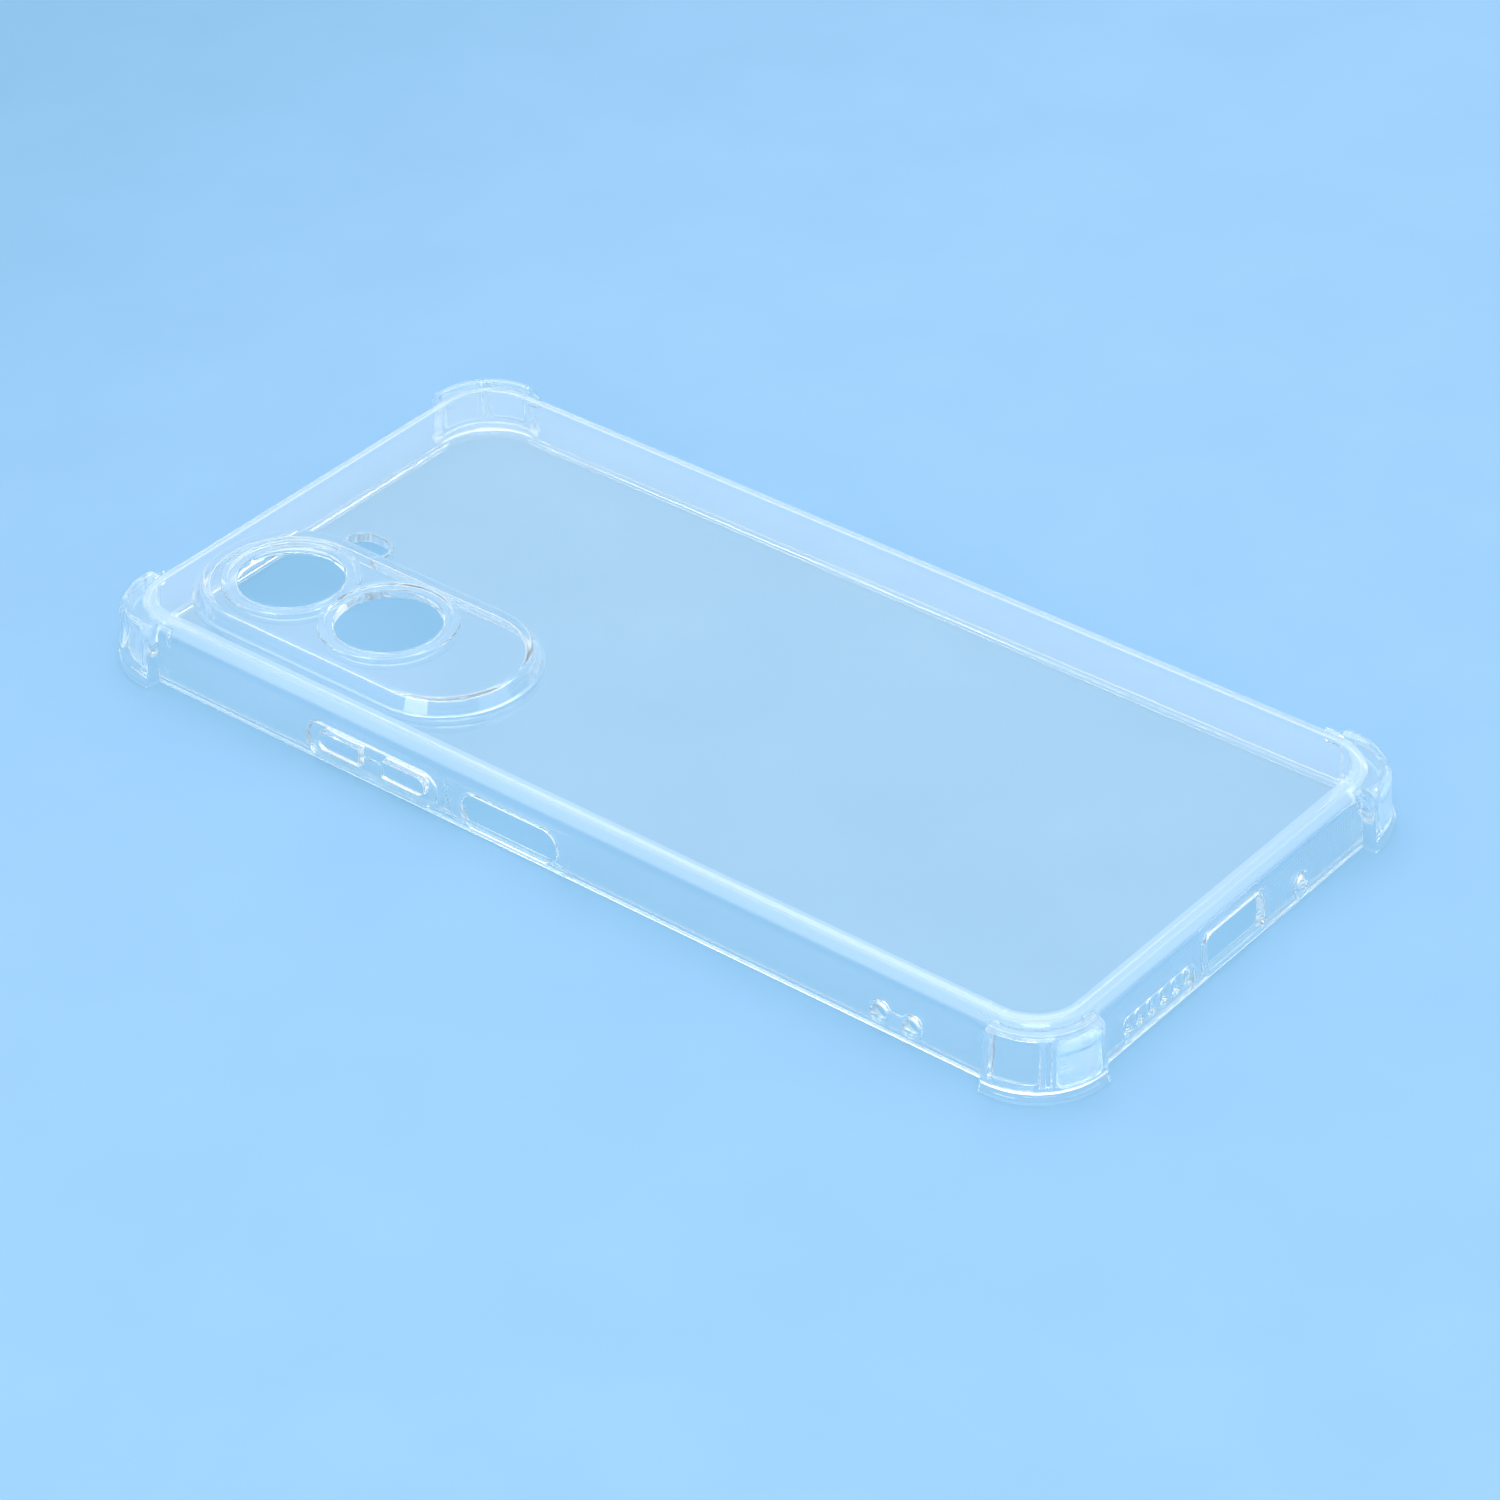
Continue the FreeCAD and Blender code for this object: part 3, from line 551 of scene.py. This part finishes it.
def add_island(shell):
    skin = layered("island", on_back, island_outline(),
                   mm((0.5, -0.6), (0.5, 0.24), (0.46, 0.32), (0.38, 0.35), (0.1, 0.36),
                      (0.0, 0.4), (-0.06, 0.52), (-0.9, 2.1), (-1.0, 2.28), (-1.12, 2.41),
                      (-1.3, 2.48), (-1.5, 2.5)), MILKY, cap=CLEAR)
    join(shell, skin)
    for centre in lens_centres():
        ring = layered("ring", on_back, circle(centre, LENS_RING_RADIUS, 24),
                       mm((0, 1.8), (0, 2.5), (-0.02, 2.72), (-0.1, 2.86), (-0.25, 2.9),
                          (-0.7, 2.9), (-0.9, 2.87), (-1.02, 2.78), (-1.12, 2.72), (-1.3, 2.7)),
                       MILKY)
        join(shell, ring)
    add_flash_rim(shell)
    for centre in lens_centres():
        groove = layered("groove", on_back, circle(centre, LENS_GROOVE_RADIUS, 24),
                         mm((0.12, 3.2), (0.1, 2.93), (0.0, 2.86), (-0.12, 2.76), (-0.3, 2.7),
                            (-0.7, 2.7), (-0.85, 2.76), (-0.95, 2.86), (-1.05, 2.93), (-1.08, 3.2)))
        core = layered("core", on_back, circle(centre, LENS_GROOVE_INNER, 24),
                       mm((-0.15, 2.4), (0.0, 2.6), (0.0, 3.4)))
        cut(groove, core)
        cut(shell, groove)
    hollow = layered("hollow", on_back, island_outline(-ISLAND_SKIN),
                     mm((0.15, -2.5), (0.15, -1.25), (0.0, -1.1), (-0.6, 0.9), (-0.7, 1.12),
                        (-0.85, 1.24), (-1.05, 1.3)))
    cut(shell, hollow)
    for centre in lens_centres():
        bore = layered("bore", on_back, circle(centre, LENS_APERTURE_RADIUS, 24),
                       mm((0.25, 1.0), (0.25, 1.26), (0.1, 1.36), (0.0, 1.5), (0.0, 2.45),
                          (0.06, 2.6), (0.2, 2.78), (0.26, 3.4)), MILKY)
        cut(shell, bore)


def flash_outline(grow):
    low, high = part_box("flash_window_rim")
    width = FLASH_WIDTH + 2 * grow
    length = high.y - low.y - 2 * FLASH_RIM + 2 * grow
    centre = (high.x - FLASH_RIM - FLASH_WIDTH / 2, (low.y + high.y) / 2)
    return outline(centre, width, length, width / 2 * ROUND_END, 12)


def add_flash_rim(shell):
    rim = layered("rim", on_back, flash_outline(FLASH_RIM),
                  mm((0, -0.6), (0, 0.1), (-0.05, 0.2), (-0.15, 0.25), (-0.3, 0.25)), MILKY)
    join(shell, rim)


def cut_flash(shell):
    """The window is the part of its outline that the island leaves free."""
    window = layered("window", on_back, flash_outline(0.0),
                     mm((0.12, -2.0), (0.12, -1.25), (0.0, -1.1), (0.0, 0.1), (0.06, 0.2),
                        (0.15, 0.27), (0.2, 3.0)), MILKY)
    island = layered("island_side", on_back, island_outline(),
                     mm((0.0, -3.0), (0.0, 0.0), (-1.2, 2.5), (-1.5, 4.0)))
    cut(window, island)
    cut(shell, window)


# ---------------------------------------------------------------- corner cushions
def cut_cushion(shell, flip_x, flip_y):
    """Two recessed windows and the groove down the rib between them.  Each tool starts well outside
    the cushion, because its flat outer end would else cut across the curve and leave a sliver."""
    place = on_cushion(flip_x, flip_y)
    rib = RIB_WIDTH / CUSHION_U / 2
    start, end = POST_TURN * 0.35, math.pi / 4 - rib
    height = WINDOW_HIGH - WINDOW_LOW
    middle_z = (WINDOW_LOW + WINDOW_HIGH) / 2

    def scaled(points):
        return [(x / CUSHION_U, y, nx / CUSHION_U, ny) for x, y, nx, ny in points]

    for mirror in (False, True):
        low = start if not mirror else math.pi / 2 - end
        high = end if not mirror else math.pi / 2 - start
        centre = ((low + high) / 2 * CUSHION_U, middle_z)
        pane = outline(centre, (high - low) * CUSHION_U, height, WINDOW_CORNER, 6, 0.5 * MM)
        tool = layered("pane", place, scaled(pane),
                       mm((0.34, 2.5), (0.34, 0.5), (0.3, 0.06), (0.16, 0.0), (0.06, -0.08), (0.0, -0.22),
                          (-0.04, -0.6), (-0.12, -0.82), (-0.28, -0.95), (-0.5, -1.0)), fill=True)
        cut(shell, tool)
    strip = outline((math.pi / 4 * CUSHION_U, middle_z), GROOVE_WIDTH, height, 0.38 * MM, 5, 0.5 * MM)
    tool = layered("groove", place, scaled(strip),
                   mm((0.16, 2.5), (0.16, 0.5), (0.14, 0.04), (0.04, -0.04), (-0.04, -0.2), (-0.14, -0.34),
                      (-0.26, -0.4)), fill=True)
    cut(shell, tool)


# ---------------------------------------------------------------- features of the left wall
def add_volume(shell):
    """Pill-shaped frame, the thin web inside it, the ridge, and the gaps round the keys."""
    centre, size = wall_spot("volume_surround", LEFT)
    inner_size = (size[0] - 2 * VOLUME_FRAME, size[1] - 2 * VOLUME_FRAME)
    place = on_wall(LEFT)
    pill = outline(centre, inner_size[0], inner_size[1], inner_size[1] / 2 * NEARLY_ROUND, 12)
    join(shell, layered("surround", place, pill,
                        mm((0.42, -0.4), (0.42, 0.05), (0.38, 0.17), (0.28, 0.24), (0.18, 0.25),
                           (0.0, 0.25)), MILKY))
    cut(shell, layered("well", place, pill,
                       mm((0.2, 0.6), (0.16, 0.3), (0.06, 0.2), (0.0, 0.08), (0.0, -0.4),
                          (-0.06, -0.5), (-0.18, -0.55), (-0.4, -0.55)), MILKY, cap=CLEAR))
    ridge = outline(centre, RIDGE_LENGTH, RIDGE_HEIGHT, 0.4 * RIDGE_HEIGHT, 4)
    join(shell, layered("ridge", place, ridge,
                        mm((0.06, -0.7), (0.04, -0.5), (0.0, -0.34), (-0.08, -0.26), (-0.16, -0.25))))
    for node, _, outer_end in KEYS:
        slot_points = key_outline(node, outer_end, KEY_GAP)
        cut(shell, layered("gap", place, slot_points,
                           mm((0.0, -2.0), (0.0, -0.6), (0.04, -0.55), (0.06, 0.6)), MILKY))


def key_outline(node, outer_end, grow=0.0):
    """Square towards the other key, rounded at its outer end."""
    centre, size = wall_spot(node, LEFT)
    length, height = size[0] + 2 * grow, size[1] + 2 * grow
    rounded, square = height / 2 * NEARLY_ROUND, KEY_CORNER
    if outer_end > 0:
        radii = (rounded, square, square, rounded)
    else:
        radii = (square, rounded, rounded, square)
    return outline(centre, length, height, radii, 10)


def make_key(node, body, outer_end):
    key = layered(node + "_pad", on_wall(LEFT), key_outline(node, outer_end),
                  mm((-0.06, -1.1), (0.0, -1.04), (0.0, 0.0), (-0.02, 0.14), (-0.08, 0.24),
                     (-0.17, 0.29), (-0.28, 0.3)))
    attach(key, body)
    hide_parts(node)
    shade(key)


def add_power(shell):
    """Arch standing on the front rim, and the opening through it."""
    centre, size = wall_spot("power_cutout_frame", LEFT)
    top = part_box("power_cutout_frame")[1].z - POWER_FRAME
    middle = (centre[0], (RIM_TOP + top) / 2)
    length, height = size[0] - 2 * POWER_FRAME, top - RIM_TOP
    opening = outline(middle, length, height, height / 2 * NEARLY_ROUND, 12)
    place = on_wall(LEFT)
    join(shell, layered("arch", place, opening,
                        mm((0.5, -0.9), (0.5, -0.52), (0.46, -0.42), (0.36, -0.36), (0.2, -0.35)),
                        MILKY))
    cut(shell, layered("power", place, opening,
                       mm((0.2, 0.8), (0.14, -0.3), (0.04, -0.38), (0.0, -0.5), (0.0, -1.1),
                          (0.05, -1.2), (0.05, -3.0)), MILKY))


def add_lanyard(shell):
    """Dumbbell boss with two bores."""
    place = on_wall(LEFT)
    bores = [mount for mount in frame["record"]["mounts"] if mount["kind"] == "bore"]
    centres = [(mount["pos_m"][1], mount["pos_m"][2]) for mount in bores]
    boss_layers = mm((0, -0.4), (0.0, 0.16), (-0.04, 0.26), (-0.13, 0.33), (-0.25, 0.35))
    for centre in centres:
        join(shell, layered("boss", place, circle(centre, BOSS_RADIUS, 10), boss_layers, MILKY))
    middle = (sum(c[0] for c in centres) / 2, centres[0][1])
    gap = abs(centres[0][0] - centres[1][0])
    waist = outline(middle, gap, WAIST_HEIGHT, 0.3 * MM, 4)
    join(shell, layered("waist", place, waist, boss_layers, MILKY))
    for centre, mount in zip(centres, bores):
        radius = mount["dims"]["r_mm"] * MM
        cut(shell, layered("bore", place, circle(centre, radius, 10),
                           mm((0.08, 0.9), (0.06, 0.38), (0.02, 0.33), (0.0, 0.26), (0.0, -2.5)),
                           MILKY))


# ---------------------------------------------------------------- features of the bottom wall
def add_speaker(shell):
    """Thinner plate let into the wall, with six slots."""
    place = on_wall(BOTTOM)
    centre, size = wall_spot("speaker_grille", BOTTOM)
    plate = outline(centre, size[0], size[1], 1.3 * MM, 8)
    cut(shell, layered("plate", place, plate,
                       mm((0.12, 0.6), (0.1, 0.03), (0.02, -0.06), (0.0, -0.3), (-0.08, -0.38),
                          (-0.2, -0.4), (-0.4, -0.4))))
    for index in range(SLOT_COUNT):
        along = centre[0] + (index - (SLOT_COUNT - 1) / 2) * SLOT_PITCH
        slot_points = outline((along, centre[1]), SLOT_WIDTH, SLOT_HEIGHT,
                              SLOT_WIDTH / 2 * NEARLY_ROUND, 8)
        cut(shell, layered("slot", place, slot_points,
                           mm((0.06, 0.3), (0.05, -0.37), (0.01, -0.41), (0.0, -0.46), (0.0, -2.5)),
                           MILKY))


def add_usb(shell):
    place = on_wall(BOTTOM)
    centre, size = wall_spot("usb_port_frame", BOTTOM)
    boss = outline(centre, size[0], size[1], 1.7 * MM, 8)
    join(shell, layered("port", place, boss,
                        mm((0, -0.4), (0.0, 0.04), (-0.04, 0.13), (-0.14, 0.19), (-0.28, 0.2)), MILKY))
    opening = outline(centre, size[0] - USB_MARGIN_ALONG, size[1] - USB_MARGIN_UP, 1.2 * MM, 8)
    cut(shell, layered("port_hole", place, opening,
                       mm((0.2, 0.8), (0.16, 0.25), (0.05, 0.14), (0.0, 0.0), (0.0, -1.1),
                          (0.05, -1.2), (0.05, -3.0)), MILKY))


def add_microphone(shell):
    place = on_wall(BOTTOM)
    centre, size = wall_spot("microphone_port", BOTTOM)
    join(shell, layered("ring", place, circle(centre, size[1] / 2, 12),
                        mm((0, -0.4), (0.0, 0.1), (-0.04, 0.22), (-0.14, 0.29), (-0.28, 0.3)), MILKY))
    cut(shell, layered("hole", place, circle(centre, MICROPHONE_RADIUS, 12),
                       mm((0.08, 0.8), (0.06, 0.34), (0.02, 0.28), (0.0, 0.2), (0.0, -2.5)),
                       MILKY))


def shade(piece):
    """Smooth shading with area-weighted normals, so that flats stay flat beside round edges."""
    piece.data.shade_smooth()
    piece.data.set_sharp_from_angle(angle=SHARP_ANGLE)
    modifier = piece.modifiers.new("normals", "WEIGHTED_NORMAL")
    modifier.mode = "FACE_AREA_WITH_ANGLE"
    modifier.weight = 50
    modifier.keep_sharp = True
    with bpy.context.temp_override(object=piece, active_object=piece):
        bpy.ops.object.modifier_apply(modifier=modifier.name)


def make_shell():
    shell = sweep_shell()
    add_island(shell)
    cut_flash(shell)
    for flip_x in (1, -1):
        for flip_y in (1, -1):
            cut_cushion(shell, flip_x, flip_y)
    add_volume(shell)
    add_power(shell)
    add_lanyard(shell)
    add_speaker(shell)
    add_usb(shell)
    add_microphone(shell)
    shade(shell)
    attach(shell, "case")
    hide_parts(*frame["record"]["behaviour"]["bodies"]["case"])


# ---------------------------------------------------------------- materials
def new_material(name):
    material = bpy.data.materials.new(name)
    material.use_nodes = True
    material.node_tree.nodes.clear()
    return material, material.node_tree.nodes, material.node_tree.links


def add_noise(nodes, links, place, scale, detail):
    noise = nodes.new("ShaderNodeTexNoise")
    noise.inputs["Scale"].default_value = scale
    noise.inputs["Detail"].default_value = detail
    links.new(place.outputs["Object"], noise.inputs["Vector"])
    return noise.outputs["Fac"]


def add_range(nodes, links, value, start, end, interpolation="LINEAR"):
    """Maps start to end on to 0 to 1."""
    mapped = nodes.new("ShaderNodeMapRange")
    mapped.interpolation_type = interpolation
    mapped.inputs["From Min"].default_value = start
    mapped.inputs["From Max"].default_value = end
    links.new(value, mapped.inputs["Value"])
    return mapped


def add_bump(nodes, links, height, strength, distance):
    bump = nodes.new("ShaderNodeBump")
    bump.inputs["Strength"].default_value = strength
    bump.inputs["Distance"].default_value = distance
    links.new(height, bump.inputs["Height"])
    return bump


def add_clear_plastic(name, clearness, roughness, tint, dots=False):
    """Clear polyurethane: faint smears in its gloss, soft waviness, and dots on the inner walls.
    Raised frames and cushions are a little milky, so their clearness is lower."""
    material, nodes, links = new_material(name)
    output = nodes.new("ShaderNodeOutputMaterial")
    shader = nodes.new("ShaderNodeBsdfPrincipled")
    shader.inputs["Base Color"].default_value = tint
    shader.inputs["Transmission Weight"].default_value = clearness
    shader.inputs["IOR"].default_value = 1.5
    place = nodes.new("ShaderNodeTexCoord")
    smears = add_noise(nodes, links, place, 60.0, 4.0)
    gloss = add_range(nodes, links, smears, 0.35, 0.75)
    gloss.inputs["To Min"].default_value = roughness[0]
    gloss.inputs["To Max"].default_value = roughness[1]
    links.new(gloss.outputs["Result"], shader.inputs["Roughness"])
    waves = add_noise(nodes, links, place, 180.0, 2.0)
    ripple = add_bump(nodes, links, waves, 0.08, 0.2 * MM)
    normal = ripple
    if dots:
        cells = nodes.new("ShaderNodeTexVoronoi")
        cells.inputs["Scale"].default_value = 1 / (0.55 * MM)
        cells.inputs["Randomness"].default_value = 0.0
        links.new(place.outputs["Object"], cells.inputs["Vector"])
        normal = add_bump(nodes, links, cells.outputs["Distance"], 0.5, 0.06 * MM)
        links.new(ripple.outputs["Normal"], normal.inputs["Normal"])
    links.new(normal.outputs["Normal"], shader.inputs["Normal"])
    clear = nodes.new("ShaderNodeBsdfTransparent")
    clear.inputs["Color"].default_value = (0.87, 0.92, 0.91, 1.0)
    path = nodes.new("ShaderNodeLightPath")
    shader_output = shader.outputs["BSDF"]
    for ray in ("Is Diffuse Ray", "Is Shadow Ray"):
        mix = nodes.new("ShaderNodeMixShader")
        links.new(path.outputs[ray], mix.inputs["Fac"])
        links.new(shader_output, mix.inputs[1])
        links.new(clear.outputs["BSDF"], mix.inputs[2])
        shader_output = mix.outputs["Shader"]
    links.new(shader_output, output.inputs["Surface"])
    return material


def add_floor_material():
    """Pale blue card, a little uneven in tone, made darker towards the back by painted shade where the
    light falls off, that fades into a table.
    """
    material, nodes, links = new_material("pale_blue_card")
    output = nodes.new("ShaderNodeOutputMaterial")
    shader = nodes.new("ShaderNodeBsdfPrincipled")
    shader.inputs["Roughness"].default_value = 0.6
    shader.inputs["Specular IOR Level"].default_value = 0.2
    place = nodes.new("ShaderNodeTexCoord")
    tone = add_noise(nodes, links, place, 45.0, 6.0)
    colours = nodes.new("ShaderNodeValToRGB")
    colours.color_ramp.elements[0].position = 0.35
    colours.color_ramp.elements[0].color = (0.205, 0.38, 0.575, 1)
    colours.color_ramp.elements[1].position = 0.65
    colours.color_ramp.elements[1].color = (0.213, 0.391, 0.59, 1)
    links.new(tone, colours.inputs["Fac"])
    # painted shade: the card's colour is multiplied darker along +Y, standing in for the light falling off
    # towards the back
    parts = nodes.new("ShaderNodeSeparateXYZ")
    links.new(place.outputs["Object"], parts.inputs["Vector"])
    painted_falloff_shade = add_range(nodes, links, parts.outputs["Y"], 0.04, 0.3, "SMOOTHSTEP")
    painted_shade = nodes.new("ShaderNodeMix")
    painted_shade.data_type = "RGBA"
    painted_shade.blend_type = "MULTIPLY"
    links.new(painted_falloff_shade.outputs["Result"], painted_shade.inputs["Factor"])
    links.new(colours.outputs["Color"], painted_shade.inputs["A"])
    painted_shade.inputs["B"].default_value = (0.74, 0.84, 0.84, 1)
    distance = nodes.new("ShaderNodeVectorMath")
    distance.operation = "LENGTH"
    links.new(place.outputs["Object"], distance.inputs[0])
    edge = add_range(nodes, links, distance.outputs["Value"], 0.3, 0.6, "SMOOTHSTEP")
    table = nodes.new("ShaderNodeMix")
    table.data_type = "RGBA"
    links.new(edge.outputs["Result"], table.inputs["Factor"])
    links.new(painted_shade.outputs["Result"], table.inputs["A"])
    table.inputs["B"].default_value = (0.72, 0.75, 0.78, 1)
    links.new(table.outputs["Result"], shader.inputs["Base Color"])
    links.new(shader.outputs["BSDF"], output.inputs["Surface"])
    return material


# ---------------------------------------------------------------- stage, light, camera
def make_floor():
    bpy.ops.mesh.primitive_grid_add(x_subdivisions=4, y_subdivisions=4, size=6.0,
                                    location=(0, 0, CAD_BOX[0].z + FLOOR_LIFT))
    floor = bpy.context.object
    floor.name = "floor"
    floor.data.materials.append(add_floor_material())


def make_world():
    world = bpy.data.worlds.new("studio")
    bpy.context.scene.world = world
    world.use_nodes = True
    nodes, links = world.node_tree.nodes, world.node_tree.links
    background = nodes["Background"]
    place = nodes.new("ShaderNodeTexCoord")
    parts = nodes.new("ShaderNodeSeparateXYZ")
    links.new(place.outputs["Generated"], parts.inputs["Vector"])
    ramp = nodes.new("ShaderNodeValToRGB")
    ramp.color_ramp.elements[0].position = 0.0
    ramp.color_ramp.elements[0].color = (0.75, 0.77, 0.8, 1)
    ramp.color_ramp.elements[1].position = 1.0
    ramp.color_ramp.elements[1].color = (0.6, 0.61, 0.63, 1)
    for position, level in ((0.35, 0.9), (0.62, 0.88), (0.8, 0.8)):
        element = ramp.color_ramp.elements.new(position)
        element.color = (0.88 * level, 0.94 * level, level, 1)
    links.new(parts.outputs["Z"], ramp.inputs["Fac"])
    links.new(ramp.outputs["Color"], background.inputs["Color"])
    background.inputs["Strength"].default_value = 1.25
    world.cycles.sampling_method = "NONE"


def direction_to(azimuth, elevation):
    """Unit vector; azimuth 0 points along -Y and 90 degrees along +X."""
    return Vector((math.sin(azimuth) * math.cos(elevation),
                   -math.cos(azimuth) * math.cos(elevation), math.sin(elevation)))


def add_softbox(name, toward, distance, size, power):
    """Large soft light that faces the object's middle."""
    data = bpy.data.lights.new(name, "AREA")
    data.shape = "RECTANGLE"
    data.size, data.size_y = size
    data.energy = power
    data.cycles.use_multiple_importance_sampling = True
    light = bpy.data.objects.new(name, data)
    bpy.context.scene.collection.objects.link(light)
    direction = direction_to(math.radians(toward[0]), math.radians(toward[1]))
    light.location = direction * distance
    light.rotation_euler = direction.to_track_quat("Z", "Y").to_euler()


def make_camera():
    back = direction_to(CAMERA_AZIMUTH, CAMERA_ELEVATION)
    right = Vector((math.cos(CAMERA_AZIMUTH), math.sin(CAMERA_AZIMUTH), 0.0))
    up = back.cross(right)
    turned_right = right * math.cos(CAMERA_ROLL) + up * math.sin(CAMERA_ROLL)
    turned_up = up * math.cos(CAMERA_ROLL) - right * math.sin(CAMERA_ROLL)
    data = bpy.data.cameras.new("camera")
    data.sensor_width = 36.0
    data.lens = CAMERA_LENS
    data.clip_start = 0.01
    camera = bpy.data.objects.new("camera", data)
    bpy.context.scene.collection.objects.link(camera)
    place = back * CAMERA_DISTANCE + turned_right * CAMERA_SLIDE_RIGHT + turned_up * CAMERA_SLIDE_UP
    basis = Matrix((turned_right, turned_up, back)).transposed().to_4x4()
    basis.translation = place
    camera.matrix_world = basis
    bpy.context.scene.camera = camera


def add_lights():
    add_softbox("front_light", (-45, 64), 1.2, (0.6, 0.6), 5.2)
    add_softbox("back_light", (130, 64), 1.4, (1.0, 0.8), 7.6)
    add_softbox("left_light", (-88, 22), 1.0, (0.45, 0.25), 2.0)
    add_softbox("right_light", (8, 22), 1.0, (0.7, 0.4), 1.2)


def set_light_paths():
    """Light crosses many skins of clear plastic before it gets out."""
    scene = bpy.context.scene
    scene.view_settings.view_transform = "Standard"
    scene.cycles.max_bounces = 40
    scene.cycles.transmission_bounces = 40
    scene.cycles.glossy_bounces = 24
    scene.cycles.transparent_max_bounces = 64


def make_materials():
    """In the order that CLEAR, DOTTED, MILKY and FROSTED count in."""
    clear, pale = (0.98, 0.99, 1.0, 1.0), (0.87, 0.95, 1.0, 1.0)
    MATERIALS.append(add_clear_plastic("clear_tpu", 0.985, (0.015, 0.07), clear))
    MATERIALS.append(add_clear_plastic("clear_tpu_dotted", 0.93, (0.03, 0.1), clear, dots=True))
    MATERIALS.append(add_clear_plastic("clear_tpu_milky", 0.92, (0.06, 0.15), pale))
    MATERIALS.append(add_clear_plastic("clear_tpu_frosted", 0.85, (0.08, 0.18), pale))


def main():
    make_camera()
    make_floor()
    make_world()
    add_lights()
    set_light_paths()
    make_materials()
    make_shell()
    for node, body, outer_end in KEYS:
        make_key(node, body, outer_end)


main()
